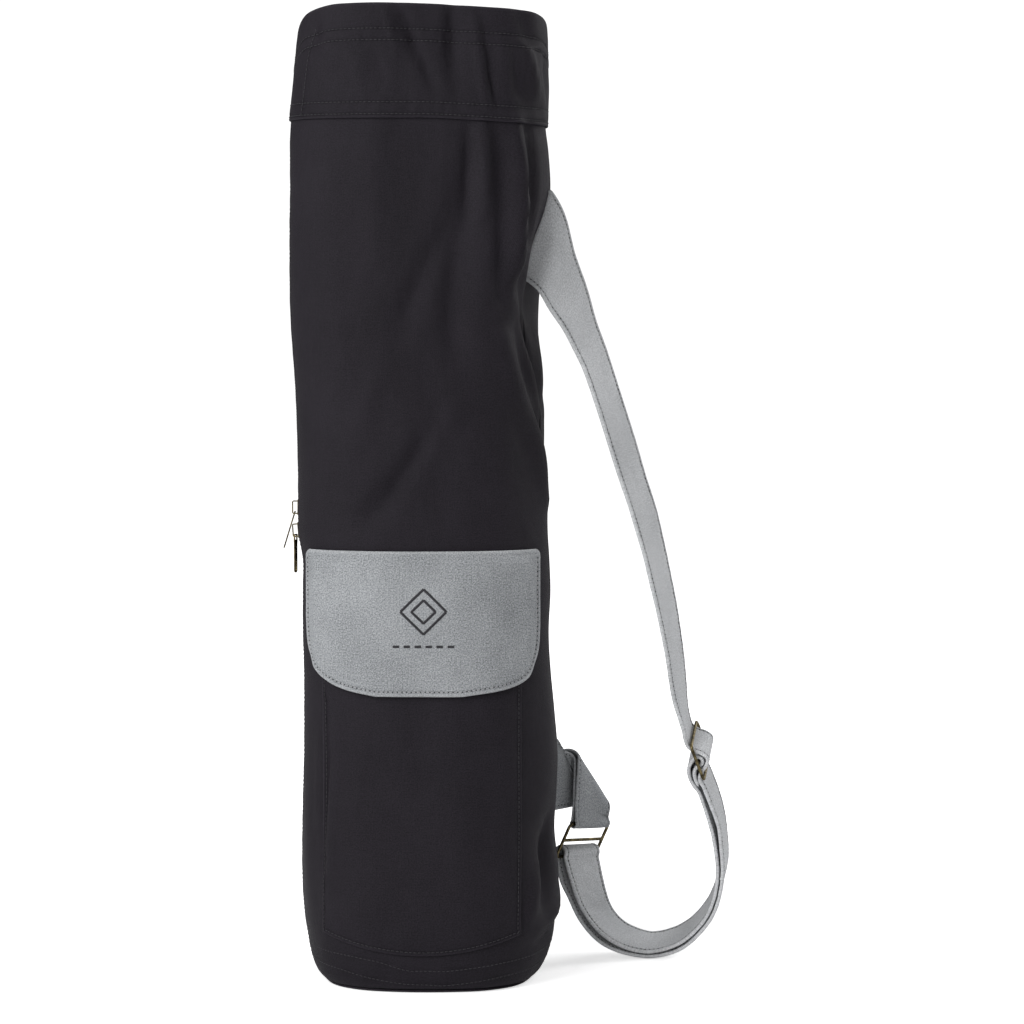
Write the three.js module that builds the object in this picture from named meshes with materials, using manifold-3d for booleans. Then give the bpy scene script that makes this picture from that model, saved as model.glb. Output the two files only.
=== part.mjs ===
// Yoga mat bag: a tall canvas tube that stands on its base, with a collar round the open mouth, a zip down
// one side, a front pocket under a flap, and an adjustable shoulder strap on the seam opposite the zip.
// Millimetres. Origin at the middle of the base, +Z up, front towards -Y, strap side towards +X.
import * as THREE from "three";
import { mergeVertices } from "three/addons/utils/BufferGeometryUtils.js";
import Module from "manifold-3d";

const wasm = await Module();
wasm.setup();

// Bag sizes
const bagHeight = 686;
const bagWidth = 178;
const bagDepth = 150;
const clothWall = 1.8;
const pieceGap = 0.3;
const laidGap = 0.8;

// Colours
const blackCloth = { color: 0x1f1e23, roughness: 0.95, metalness: 0 };
const greyCloth = { color: 0x9a9ca1, roughness: 0.95, metalness: 0 };
const zipCloth = { color: 0x17171b, roughness: 0.9, metalness: 0 };
const agedBrass = { color: 0x8b7a4c, roughness: 0.4, metalness: 1 };

// Shape of the filled-out bag: one row per height
// up is a share of the height, middle a share of the width, wide and deep shares of half the width and depth
const outlineSquareness = 2.6;
const bagSections = [
  { up: 0.0, middle: 0.012, wide: 0.831, deep: 0.973 },
  { up: 0.009, middle: 0.014, wide: 0.893, deep: 1.013 },
  { up: 0.023, middle: 0.017, wide: 0.94, deep: 1.04 },
  { up: 0.044, middle: 0.021, wide: 0.978, deep: 1.053 },
  { up: 0.069, middle: 0.022, wide: 1.007, deep: 1.053 },
  { up: 0.109, middle: 0.019, wide: 1.018, deep: 1.04 },
  { up: 0.149, middle: 0.011, wide: 1.002, deep: 1.013 },
  { up: 0.191, middle: 0.017, wide: 1.006, deep: 0.987 },
  { up: 0.232, middle: 0.022, wide: 1.006, deep: 0.96 },
  { up: 0.274, middle: 0.017, wide: 0.994, deep: 0.947 },
  { up: 0.315, middle: 0.01, wide: 0.98, deep: 0.933 },
  { up: 0.357, middle: 0.004, wide: 0.975, deep: 0.92 },
  { up: 0.398, middle: 0.007, wide: 0.979, deep: 0.907 },
  { up: 0.432, middle: 0.005, wide: 0.973, deep: 0.887 },
  { up: 0.456, middle: -0.006, wide: 0.984, deep: 0.867 },
  { up: 0.481, middle: -0.008, wide: 0.984, deep: 0.853 },
  { up: 0.522, middle: -0.012, wide: 0.976, deep: 0.84 },
  { up: 0.605, middle: -0.021, wide: 0.971, deep: 0.813 },
  { up: 0.687, middle: -0.029, wide: 0.993, deep: 0.787 },
  { up: 0.769, middle: -0.016, wide: 1.027, deep: 0.747 },
  { up: 0.809, middle: -0.012, wide: 1.03, deep: 0.733 },
  { up: 0.85, middle: -0.018, wide: 1.018, deep: 0.72 },
  { up: 0.875, middle: -0.022, wide: 1.003, deep: 0.707 },
  { up: 0.911, middle: -0.013, wide: 0.992, deep: 0.68 },
  { up: 0.936, middle: -0.01, wide: 0.979, deep: 0.66 },
  { up: 0.968, middle: -0.006, wide: 0.963, deep: 0.64 },
  { up: 1.006, middle: -0.003, wide: 0.949, deep: 0.62 },
];

// Folds and hollows in the cloth: bearing about the bag's axis, 0 at the strap side and -90 at the front
// bearing and spread in degrees, up and tall as shares of the height, push in mm with minus inwards
const bagFolds = [
  { name: "hollow at the strap root", bearing: -8, up: 0.713, spread: 13, tall: 0.073, push: -15.5 },
  { name: "ridge in front of the strap root", bearing: -37, up: 0.79, spread: 7, tall: 0.1, push: 2.2 },
  { name: "crease down the strap side", bearing: -27, up: 0.6, spread: 7, tall: 0.085, push: -2.6 },
  { name: "ridge down the strap side", bearing: -15, up: 0.585, spread: 6, tall: 0.06, push: 2 },
  { name: "hollow above the base", bearing: -24, up: 0.12, spread: 9, tall: 0.045, push: -4.5 },
  { name: "ridge above the base", bearing: -38, up: 0.1, spread: 8, tall: 0.05, push: 1.5 },
  { name: "crease beside the pocket", bearing: 212, up: 0.16, spread: 6, tall: 0.09, push: -1.8 },
  { name: "dip in the collar", bearing: -43, up: 0.955, spread: 10, tall: 0.04, push: -3.5 },
  { name: "broad dip in the collar", bearing: -66, up: 0.95, spread: 14, tall: 0.05, push: -2 },
  { name: "fold in the collar", bearing: 207, up: 0.975, spread: 6, tall: 0.035, push: -1.5 },
  { name: "upper dip in the back", bearing: 62, up: 0.7, spread: 15, tall: 0.12, push: -4 },
  { name: "lower dip in the back", bearing: 122, up: 0.45, spread: 17, tall: 0.15, push: -3 },
  { name: "swell in the back", bearing: 92, up: 0.25, spread: 20, tall: 0.12, push: 2 },
];

// Seam that holds the strap: its bearing at each height
const strapSeam = [
  { up: 0.0, bearing: 16 },
  { up: 0.16, bearing: 18 },
  { up: 0.25, bearing: 17 },
  { up: 0.45, bearing: 6 },
  { up: 0.62, bearing: -6 },
  { up: 0.717, bearing: -10.4 },
  { up: 0.809, bearing: -1.5 },
  { up: 0.88, bearing: 0 },
  { up: 1.0, bearing: 0 },
];

const radians = (degrees) => (degrees * Math.PI) / 180;

// Smooth curve through one column of a table
function along(rows, key, column, at) {
  const last = rows.length - 1;
  if (at <= rows[0][key]) return rows[0][column];
  if (at >= rows[last][key]) return rows[last][column];
  let i = 0;
  while (rows[i + 1][key] < at) i += 1;
  const a = rows[i];
  const b = rows[i + 1];
  const before = rows[Math.max(i - 1, 0)];
  const after = rows[Math.min(i + 2, last)];
  const step = b[key] - a[key];
  const t = (at - a[key]) / step;
  const slopeA = ((b[column] - before[column]) / (b[key] - before[key])) * step;
  const slopeB = ((after[column] - a[column]) / (after[key] - a[key])) * step;
  const t2 = t * t;
  const t3 = t2 * t;
  const start = (2 * t3 - 3 * t2 + 1) * a[column] + (t3 - 2 * t2 + t) * slopeA;
  return start + (3 * t2 - 2 * t3) * b[column] + (t3 - t2) * slopeB;
}

function foldPush(bearing, up) {
  let push = 0;
  for (const fold of bagFolds) {
    const turn = ((bearing - fold.bearing + 540) % 360) - 180;
    push += fold.push * Math.exp(-((turn / fold.spread) ** 2) - ((up - fold.up) / fold.tall) ** 2);
  }
  return push;
}

function surfacePoint(bearing, z) {
  const up = z / bagHeight;
  const wide = (along(bagSections, "up", "wide", up) * bagWidth) / 2;
  const deep = (along(bagSections, "up", "deep", up) * bagDepth) / 2;
  const c = Math.cos(radians(bearing));
  const s = Math.sin(radians(bearing));
  const sum = Math.abs(c / wide) ** outlineSquareness + Math.abs(s / deep) ** outlineSquareness;
  const reach = sum ** (-1 / outlineSquareness) + foldPush(bearing, up);
  const middle = along(bagSections, "up", "middle", up) * bagWidth;
  return new THREE.Vector3(middle + reach * c, reach * s, z);
}

// Point on the bag's cloth, moved outwards by off
function clothPoint(bearing, z, off) {
  const here = surfacePoint(bearing, z);
  const side = surfacePoint(bearing + 0.5, z).sub(surfacePoint(bearing - 0.5, z));
  const out = new THREE.Vector3(side.y, -side.x, 0).normalize();
  return here.addScaledVector(out, off);
}

const seamBearing = (z) => along(strapSeam, "up", "bearing", z / bagHeight);

// Bearing on the front face where the cloth reaches a given x
function frontBearing(x, z) {
  let low = 180;
  let high = 360;
  for (let i = 0; i < 40; i += 1) {
    const middle = (low + high) / 2;
    if (surfacePoint(middle, z).x < x) low = middle;
    else high = middle;
  }
  return (low + high) / 2;
}

// Closed meshes
function closedMesh(name, points, faces, look) {
  const raw = new THREE.BufferGeometry();
  raw.setAttribute("position", new THREE.Float32BufferAttribute(points.flatMap((p) => [p.x, p.y, p.z]), 3));
  raw.setIndex(faces.flat());
  let geometry = mergeVertices(raw, 1e-4);
  geometry = dropThinFaces(geometry);
  geometry.computeVertexNormals();
  const mesh = new THREE.Mesh(geometry, new THREE.MeshStandardMaterial(look));
  mesh.name = name;
  return mesh;
}

function dropThinFaces(geometry) {
  const index = geometry.getIndex().array;
  const kept = [];
  for (let i = 0; i < index.length; i += 3) {
    const [a, b, c] = [index[i], index[i + 1], index[i + 2]];
    if (a !== b && b !== c && a !== c) kept.push(a, b, c);
  }
  geometry.setIndex(kept);
  return geometry;
}

// Sheet of cloth between an outer and an inner grid of points
// rows run upwards and columns to the right, seen from outside
function sheetMesh(name, outer, inner, look, joined = false) {
  const rows = outer.length;
  const columns = outer[0].length;
  const points = [...outer.flat(), ...inner.flat()];
  const back = rows * columns;
  const at = (r, c) => r * columns + (c % columns);
  const faces = [];
  const quad = (a, b, c, d) => faces.push([a, b, c], [a, c, d]);
  const spans = joined ? columns : columns - 1;
  for (let r = 0; r < rows - 1; r += 1) {
    for (let c = 0; c < spans; c += 1) {
      quad(at(r, c), at(r, c + 1), at(r + 1, c + 1), at(r + 1, c));
      quad(back + at(r, c), back + at(r + 1, c), back + at(r + 1, c + 1), back + at(r, c + 1));
    }
  }
  for (let c = 0; c < spans; c += 1) {
    quad(at(0, c + 1), at(0, c), back + at(0, c), back + at(0, c + 1));
    quad(at(rows - 1, c), at(rows - 1, c + 1), back + at(rows - 1, c + 1), back + at(rows - 1, c));
  }
  if (!joined) {
    for (let r = 0; r < rows - 1; r += 1) {
      quad(at(r, 0), at(r + 1, 0), back + at(r + 1, 0), back + at(r, 0));
      quad(at(r + 1, spans), at(r, spans), back + at(r, spans), back + at(r + 1, spans));
    }
  }
  return closedMesh(name, points, faces, look);
}

const shares = (count) => Array.from({ length: count + 1 }, (_, i) => i / count);
const mix = (a, b, t) => a + (b - a) * t;
const ease = (t) => {
  const held = Math.min(Math.max(t, 0), 1);
  return held * held * (3 - 2 * held);
};

// Base panel
const baseThickness = 2.2;
const baseColumns = 48;
const baseBearings = shares(baseColumns).slice(0, -1).map((s) => s * 360);
const baseOuter = [0, baseThickness].map((z) => baseBearings.map((bearing) => clothPoint(bearing, z, 0)));

function discMesh(name, rings, look) {
  const columns = rings[0].length;
  const points = [...rings.flat()];
  const faces = [];
  for (let c = 0; c < columns; c += 1) {
    const next = (c + 1) % columns;
    faces.push([c, next, columns + next], [c, columns + next, columns + c]);
  }
  const low = points.push(new THREE.Vector3(0, 0, rings[0][0].z)) - 1;
  const high = points.push(new THREE.Vector3(0, 0, rings[1][0].z)) - 1;
  for (let c = 0; c < columns; c += 1) {
    const next = (c + 1) % columns;
    faces.push([low, next, c], [high, columns + c, columns + next]);
  }
  return closedMesh(name, points, faces, look);
}

const basePanel = discMesh("base_panel", baseOuter, blackCloth);

// Front and back panels: they part at the zip and at the strap seam
const panelLow = baseThickness + pieceGap;
const panelHigh = 0.9 * bagHeight;
const panelColumns = 19;
const zipLow = 0.138 * bagHeight;
const zipHigh = 0.874 * bagHeight;
const zipOpening = 9;
const zipClosing = 8;
const rowClear = 1;
const zipBearing = 180;
const panelRows = [panelLow];
for (const row of bagSections) {
  const z = row.up * bagHeight;
  if (z > panelLow + rowClear && z < panelHigh - rowClear) panelRows.push(z);
}
const rootRows = [0.646, 0.71, 0.73, 0.75, 0.788];
for (const up of rootRows) panelRows.push(up * bagHeight);
panelRows.push(panelHigh);
panelRows.push(zipLow - zipClosing, zipLow);
panelRows.sort((a, b) => a - b);

const degrees = (angle) => (angle * 180) / Math.PI;

// Half the opening between the panels at the zip, as a bearing
function zipHalfBearing(z) {
  const closed = ease((zipLow - z) / zipClosing);
  const half = mix(zipOpening / 2, pieceGap / 2, closed);
  const reach = (along(bagSections, "up", "wide", z / bagHeight) * bagWidth) / 2;
  return degrees(half / reach);
}

function seamHalfBearing(z) {
  const there = surfacePoint(seamBearing(z), z);
  return degrees(pieceGap / 2 / Math.hypot(there.x, there.y));
}

function panelGrid(off, start, end, crowd) {
  return panelRows.map((z) => shares(panelColumns).map((s) => {
    const share = 1 - (1 - s) ** crowd;
    return clothPoint(mix(start(z), end(z), share), z, off);
  }));
}

const frontStart = (z) => zipBearing + zipHalfBearing(z);
const frontEnd = (z) => 360 + seamBearing(z) - seamHalfBearing(z);
const backStart = (z) => seamBearing(z) + seamHalfBearing(z);
const backEnd = (z) => zipBearing - zipHalfBearing(z);
const frontCrowd = 1.12;
const backCrowd = 0.95;
const frontOuter = panelGrid(0, frontStart, frontEnd, frontCrowd);
const frontInner = panelGrid(-clothWall, frontStart, frontEnd, frontCrowd);
const backOuter = panelGrid(0, backStart, backEnd, backCrowd);
const backInner = panelGrid(-clothWall, backStart, backEnd, backCrowd);
const frontPanel = sheetMesh("front_panel", frontOuter, frontInner, blackCloth);
const backPanel = sheetMesh("back_panel", backOuter, backInner, blackCloth);

// Collar: a doubled band over the top of the panels, its rim lower at the two sides
const collarLow = 0.879 * bagHeight;
const collarThickness = 1.7;
const collarColumns = 42;
const collarRowShares = [0, 0.08, 0.25, 0.42, 0.58, 0.73, 0.87, 1];
const hemDropRight = 4;

// Rim of the mouth: how far it drops below the top, by the turn away from the strap side in degrees
const rimDrops = [
  { turn: 0, drop: 0.029 },
  { turn: 10, drop: 0.019 },
  { turn: 22, drop: 0.0125 },
  { turn: 45, drop: 0.0095 },
  { turn: 90, drop: 0.0065 },
  { turn: 145, drop: 0.006 },
  { turn: 160, drop: 0.0115 },
  { turn: 167, drop: 0.019 },
  { turn: 174, drop: 0.029 },
  { turn: 180, drop: 0.035 },
];

function rimHeight(bearing) {
  const turn = Math.abs(((bearing + 540) % 360) - 180);
  return bagHeight * (1 - along(rimDrops, "turn", "drop", turn));
}

function collarGrid(off) {
  return collarRowShares.map((share) => shares(collarColumns).slice(0, -1).map((s) => {
    const bearing = s * 360;
    const low = collarLow - hemDropRight * Math.max(0, Math.cos(radians(bearing))) ** 2;
    return clothPoint(bearing, mix(low, rimHeight(bearing), share), off);
  }));
}

const collarOuter = collarGrid(laidGap + collarThickness);
const collar = sheetMesh("collar", collarOuter, collarGrid(laidGap), blackCloth, true);

// Pocket: a flat patch on the front panel
const patchThickness = 1.4;
const pocketLeft = -0.39 * bagWidth;
const pocketRight = 0.378 * bagWidth;
const pocketLow = 0.039 * bagHeight;
const pocketHigh = 0.428 * bagHeight;
const pocketCornerRise = 0.019 * bagHeight;
const pocketColumns = 16;
const pocketRows = 13;

function pocketGrid(off) {
  return shares(pocketRows).map((up) => shares(pocketColumns).map((across) => {
    const x = mix(pocketLeft, pocketRight, across);
    const low = pocketLow + pocketCornerRise * (2 * across - 1) ** 2;
    const z = mix(low, pocketHigh, up);
    return clothPoint(frontBearing(x, z), z, off);
  }));
}

const pocket = sheetMesh("pocket", pocketGrid(laidGap + patchThickness), pocketGrid(laidGap), blackCloth);

// Pocket flap: sewn along its top edge, rounded at its two lower corners
// down is a share of the flap's height, left and right are shares of the bag's width
const flapThickness = 2;
const flapHigh = 0.444 * bagHeight;
const flapLow = 0.3 * bagHeight;
const flapLowStand = laidGap + 0.2;
const flapHighStand = laidGap + patchThickness + laidGap + 0.8;
const flapEaseStart = 12;
const flapEaseSide = 9;
const flapEaseTop = 6;
const flapColumns = 20;
const flapOutline = [
  { down: 0.0, left: -0.447, right: 0.457 },
  { down: 0.03, left: -0.455, right: 0.464 },
  { down: 0.09, left: -0.455, right: 0.464 },
  { down: 0.3, left: -0.455, right: 0.464 },
  { down: 0.58, left: -0.452, right: 0.462 },
  { down: 0.73, left: -0.437, right: 0.45 },
  { down: 0.85, left: -0.398, right: 0.42 },
  { down: 0.92, left: -0.345, right: 0.375 },
  { down: 0.965, left: -0.28, right: 0.29 },
  { down: 1.0, left: -0.18, right: 0.15 },
];

// Height of the flap's cloth off the bag: it lies over the pocket and close to the bag outside it
function flapStand(x, z) {
  const insideLeft = ease((x - pocketLeft + flapEaseStart) / flapEaseSide);
  const insideRight = ease((pocketRight + flapEaseStart - x) / flapEaseSide);
  const belowTop = ease((pocketHigh + flapEaseSide - z) / flapEaseTop);
  return mix(flapLowStand, flapHighStand, insideLeft * insideRight * belowTop);
}

function flapGrid(off) {
  const rows = [...flapOutline].reverse();
  return rows.map((row) => shares(flapColumns).map((across) => {
    const x = mix(row.left, row.right, across) * bagWidth;
    const z = mix(flapHigh, flapLow, row.down);
    return clothPoint(frontBearing(x, z), z, flapStand(x, z) + off);
  }));
}

const flap = sheetMesh("pocket_flap", flapGrid(flapThickness), flapGrid(0), greyCloth);

// Zip tape and teeth: strips that close the opening between the panels
const teethWidth = 5;
const teethSink = 0.2;
const teethThickness = 2;
const tapeWidth = 14;
const tapeThickness = 0.7;
const tapeRows = 34;
const tapeClear = pieceGap + 0.2;
const tapeBelow = 4;
const tapeAbove = 6;

function zipStrip(name, width, outside, thickness, low, high, look) {
  const grid = (off) => shares(tapeRows).map((up) => [0.5, -0.5].map((side) => {
    const z = mix(low, high, up);
    const edge = surfacePoint(zipBearing, z);
    return new THREE.Vector3(edge.x - off, side * width, z);
  }));
  return sheetMesh(name, grid(outside), grid(outside - thickness), look);
}

const teethOutside = -teethSink;
const tapeOutside = teethOutside - teethThickness - tapeClear;
const tapeLow = zipLow - tapeBelow;
const tapeHigh = zipHigh + tapeAbove;
const zipTeeth = zipStrip("zip_teeth", teethWidth, teethOutside, teethThickness, zipLow, zipHigh, zipCloth);
const zipTape = zipStrip("zip_tape", tapeWidth, tapeOutside, tapeThickness, tapeLow, tapeHigh, zipCloth);

// Solids joined by booleans
function toSolid(geometry) {
  const bare = geometry.clone();
  for (const key of Object.keys(bare.attributes)) {
    if (key !== "position") bare.deleteAttribute(key);
  }
  const merged = mergeVertices(bare, 1e-4);
  const vertProperties = new Float32Array(merged.attributes.position.array);
  const triVerts = new Uint32Array(merged.getIndex().array);
  return new wasm.Manifold(new wasm.Mesh({ numProp: 3, vertProperties, triVerts }));
}

function fromSolid(name, solid, look) {
  const mesh = solid.getMesh();
  const points = [];
  for (let i = 0; i < mesh.vertProperties.length; i += mesh.numProp) {
    points.push(new THREE.Vector3(...mesh.vertProperties.slice(i, i + 3)));
  }
  const faces = [];
  for (let i = 0; i < mesh.triVerts.length; i += 3) faces.push([...mesh.triVerts.slice(i, i + 3)]);
  return closedMesh(name, points, faces, look);
}

// Outline in (out, up) or (across, up), given a thickness along its own normal and centred on it
function slab(outline, holes, thickness) {
  const shape = new THREE.Shape(outline.map(([a, b]) => new THREE.Vector2(a, b)));
  for (const hole of holes) shape.holes.push(new THREE.Path(hole.map(([a, b]) => new THREE.Vector2(a, b))));
  const solid = new THREE.ExtrudeGeometry(shape, { depth: thickness, bevelEnabled: false, steps: 1 });
  return solid.translate(0, 0, -thickness / 2);
}

function roundedBox(halfWide, halfHigh, radius, steps = 4) {
  const outline = [];
  const corners = [[1, 1, 0], [-1, 1, 90], [-1, -1, 180], [1, -1, 270]];
  for (const [sideways, upward, start] of corners) {
    for (let i = 0; i <= steps; i += 1) {
      const turn = radians(start + (90 * i) / steps);
      const a = sideways * (halfWide - radius) + radius * Math.cos(turn);
      outline.push([a, upward * (halfHigh - radius) + radius * Math.sin(turn)]);
    }
  }
  return outline;
}

// Zip sliders: a plate over the teeth with two flanges and a bail that the pull hangs from
const sliderLength = 11;
const sliderWide = 8.2;
const sliderNarrow = 6.4;
const plateThickness = 1;
const plateLow = 0.1;
const plateShoulder = 0.2;
const flangeWidth = 1.1;
const flangeDepth = 1.3;
const flangeShare = 0.6;
const flangeOut = 0.35;
const flangeRoot = 0.2;
const bailLength = 9.6;
const bailWidth = 1.8;
const bailBand = 0.9;
const bailRoom = 3.1;
const bailCorner = 1.2;
const bailBevel = 0.36;
const bailRoot = 0.3;
const upperSliderAt = 0.484 * bagHeight;
const lowerSliderAt = 0.4605 * bagHeight;

// Turn and shift that set a zip piece on the bag's side; its own axes are out, across and up
function zipPlace(z) {
  const reach = 6;
  const here = surfacePoint(zipBearing, z);
  const above = surfacePoint(zipBearing, z + reach);
  const below = surfacePoint(zipBearing, z - reach);
  const up = above.sub(below).normalize();
  const across = new THREE.Vector3(0, -1, 0);
  const out = new THREE.Vector3().crossVectors(across, up).normalize();
  return new THREE.Matrix4().makeBasis(out, across, up).setPosition(here);
}

function sliderMesh(name, z, wideEndUp) {
  const end = wideEndUp ? 1 : -1;
  const half = sliderLength / 2;
  const plateOutline = [
    [-sliderNarrow / 2, -half * end],
    [sliderNarrow / 2, -half * end],
    [sliderWide / 2, half * plateShoulder * end],
    [sliderWide / 2, half * end],
    [-sliderWide / 2, half * end],
    [-sliderWide / 2, half * plateShoulder * end],
  ];
  if (!wideEndUp) plateOutline.reverse();
  const plate = slab(plateOutline, [], plateThickness);
  plate.applyMatrix4(new THREE.Matrix4().makeBasis(
    new THREE.Vector3(0, 1, 0),
    new THREE.Vector3(0, 0, 1),
    new THREE.Vector3(1, 0, 0),
  ));
  plate.translate(plateLow + plateThickness / 2, 0, 0);
  let solid = toSolid(plate);
  for (const side of [-1, 1]) {
    const deep = flangeDepth + flangeRoot;
    const flange = new THREE.BoxGeometry(deep, flangeWidth, sliderLength * flangeShare);
    const outward = side * (sliderNarrow / 2 + flangeOut);
    flange.translate(plateLow + flangeRoot - deep / 2, outward, 0);
    solid = solid.add(toSolid(flange));
  }
  const top = plateLow + plateThickness;
  const root = top - bailRoot;
  const crown = top + bailRoom + bailBand;
  const reach = bailLength / 2;
  const inside = reach - bailBand;
  const bailOutline = [
    [root, -reach],
    [crown - bailCorner, -reach],
    [crown - bailBevel, -reach + bailBevel],
    [crown, -reach + bailCorner],
    [crown, reach - bailCorner],
    [crown - bailBevel, reach - bailBevel],
    [crown - bailCorner, reach],
    [root, reach],
    [root, inside],
    [top + bailRoom, inside],
    [top + bailRoom, -inside],
    [root, -inside],
  ];
  const bail = slab(bailOutline, [], bailWidth);
  bail.applyMatrix4(new THREE.Matrix4().makeBasis(
    new THREE.Vector3(1, 0, 0),
    new THREE.Vector3(0, 0, 1),
    new THREE.Vector3(0, -1, 0),
  ));
  solid = solid.add(toSolid(bail));
  const mesh = fromSolid(name, solid, agedBrass);
  mesh.geometry.applyMatrix4(zipPlace(z));
  return mesh;
}

const upperSlider = sliderMesh("zip_slider_upper", upperSliderAt, false);
const lowerSlider = sliderMesh("zip_slider_lower", lowerSliderAt, true);

// Zip pulls: flat tongues that hang from the bails by a cross bar
const pullLength = 27;
const pullWidth = 4.4;
const pullThickness = 0.9;
const pullBar = 0.9;
const pullWindowWidth = 2.9;
const pullWindowLength = 3.2;
const pullSlotWidth = 1.5;
const pullSlotLength = 7;
const pullStand = 1.85;
const pullRest = 0.4;
const pullNeckLength = 1.2;
const pullNeckShare = 0.86;
const pullNeckSlope = 2;
const pullCorner = 0.5;
const pullEndBand = 1.3;
const pullEndSteps = 8;
const windowCorner = 0.3;
const slotCorner = pullSlotWidth / 2 - 0.01;
const pullPivotOut = plateLow + plateThickness + pullStand;
const pullPivotUp = -(bailLength / 2 - bailBand) + pullBar / 2 + pullRest;
const upperPullTilt = 17;
const lowerPullTwist = 24;

function pullMesh(name, sliderAt, tilt, twist) {
  const head = pullBar / 2;
  const low = -pullLength;
  const half = pullWidth / 2;
  const endRadius = half * pullNeckShare;
  const neck = -(head + pullWindowLength + pullNeckLength);
  const shoulder = head - pullCorner;
  const outline = [[half - pullCorner, head], [-half + pullCorner, head], [-half, shoulder]];
  outline.push([-half, neck], [-endRadius, neck - pullNeckSlope]);
  for (const share of shares(pullEndSteps)) {
    const turn = radians(180 + 180 * share);
    outline.push([endRadius * Math.cos(turn), low + endRadius + endRadius * Math.sin(turn)]);
  }
  outline.push([endRadius, neck - pullNeckSlope], [half, neck], [half, shoulder]);
  const windowMiddle = -(head + pullWindowLength / 2);
  const windowHole = roundedBox(pullWindowWidth / 2, pullWindowLength / 2, windowCorner, 2);
  const slotMiddle = low + pullEndBand + pullSlotLength / 2;
  const slotHole = roundedBox(pullSlotWidth / 2, pullSlotLength / 2, slotCorner, 4);
  const holes = [
    windowHole.map(([a, b]) => [a, b + windowMiddle]).reverse(),
    slotHole.map(([a, b]) => [a, b + slotMiddle]).reverse(),
  ];
  const blade = slab(outline, holes, pullThickness);
  blade.applyMatrix4(new THREE.Matrix4().makeBasis(
    new THREE.Vector3(0, 1, 0),
    new THREE.Vector3(0, 0, 1),
    new THREE.Vector3(1, 0, 0),
  ));
  blade.deleteAttribute("uv");
  blade.deleteAttribute("normal");
  const place = zipPlace(sliderAt);
  const pivot = new THREE.Vector3(pullPivotOut, 0, pullPivotUp).applyMatrix4(place);
  const swing = new THREE.Matrix4().makeRotationY(radians(tilt));
  const turn = new THREE.Matrix4().makeRotationZ(radians(180 - twist));
  blade.applyMatrix4(turn);
  blade.applyMatrix4(swing);
  blade.translate(pivot.x, pivot.y, pivot.z);
  const merged = mergeVertices(blade, 1e-4);
  merged.computeVertexNormals();
  const mesh = new THREE.Mesh(merged, new THREE.MeshStandardMaterial(agedBrass));
  mesh.name = name;
  return { mesh, pivot };
}

const upperPull = pullMesh("zip_pull_upper", upperSliderAt, upperPullTilt, 0);
const lowerPull = pullMesh("zip_pull_lower", lowerSliderAt, 0, lowerPullTwist);

// Buckles with three bars: the strap slider and the ring on the tab
const strapWidth = 38;
const strapThickness = 2.4;
const buckleWire = 2.4;
const buckleThickness = 2.2;
const buckleSlack = 2.4;
const buckleHeight = 30;
const buckleInside = strapWidth + buckleSlack;
const buckleCorner = 2.2;
const holeCorner = 0.6;
const wrapGap = 0.4;
const barSpacing = (buckleHeight - buckleWire) / 2;
const wrapRadius = Math.hypot(buckleWire, buckleThickness) / 2 + wrapGap + strapThickness / 2;

function buckleFrame(middle, wide, down) {
  const w = wide.clone().normalize();
  const d = down.clone().addScaledVector(w, -down.dot(w)).normalize();
  const n = new THREE.Vector3().crossVectors(d, w).normalize();
  return { middle, w, d, n };
}

// Point at a distance down the buckle and a distance out of its face
function inFrame(frame, downwards, outwards, sideways = 0) {
  const point = frame.middle.clone().addScaledVector(frame.d, downwards);
  return point.addScaledVector(frame.n, outwards).addScaledVector(frame.w, sideways);
}

function buckleMesh(name, frame) {
  const halfWide = buckleInside / 2 + buckleWire;
  const halfWindow = (barSpacing - buckleWire) / 2;
  const outline = roundedBox(halfWide, buckleHeight / 2, buckleCorner, 3);
  const hole = roundedBox(buckleInside / 2, halfWindow, holeCorner, 2);
  const holes = [-1, 1].map((side) => hole.map(([a, b]) => [a, b + (side * barSpacing) / 2]).reverse());
  const body = slab(outline, holes, buckleThickness);
  body.applyMatrix4(new THREE.Matrix4().makeBasis(frame.w, frame.d.clone().negate(), frame.n));
  body.translate(frame.middle.x, frame.middle.y, frame.middle.z);
  body.deleteAttribute("uv");
  body.deleteAttribute("normal");
  const merged = mergeVertices(body, 1e-4);
  merged.computeVertexNormals();
  const mesh = new THREE.Mesh(merged, new THREE.MeshStandardMaterial(agedBrass));
  mesh.name = name;
  return mesh;
}

// Place on the bag: out is a share of the width, back of the depth, up of the height
const place = (out, back, up) => new THREE.Vector3(out * bagWidth, back * bagDepth, up * bagHeight);
const sliderFrame = buckleFrame(
  place(1.108, 0.271, 0.2239),
  new THREE.Vector3(0.14, 0.935, 0.327),
  new THREE.Vector3(0.345, 0.264, -0.902),
);
const ringFrame = buckleFrame(
  place(0.633, 0.309, 0.1279),
  new THREE.Vector3(0.668, 0.739, -0.09),
  new THREE.Vector3(-0.371, 0.233, -0.899),
);
const strapSlider = buckleMesh("strap_slider", sliderFrame);
const strapRing = buckleMesh("strap_ring", ringFrame);

// Ribbon of strap cloth through rows of middle, width direction and width
const ribbonStep = 0.8;
const ribbonBend = 11;
const ribbonStride = 24;
const ribbonEdge = 0.9;

function edgeRow(low, high) {
  const across = high.clone().sub(low);
  const middle = low.clone().add(high).multiplyScalar(0.5);
  return { low, high, middle, wide: across.clone().normalize(), width: across.length() };
}

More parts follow.
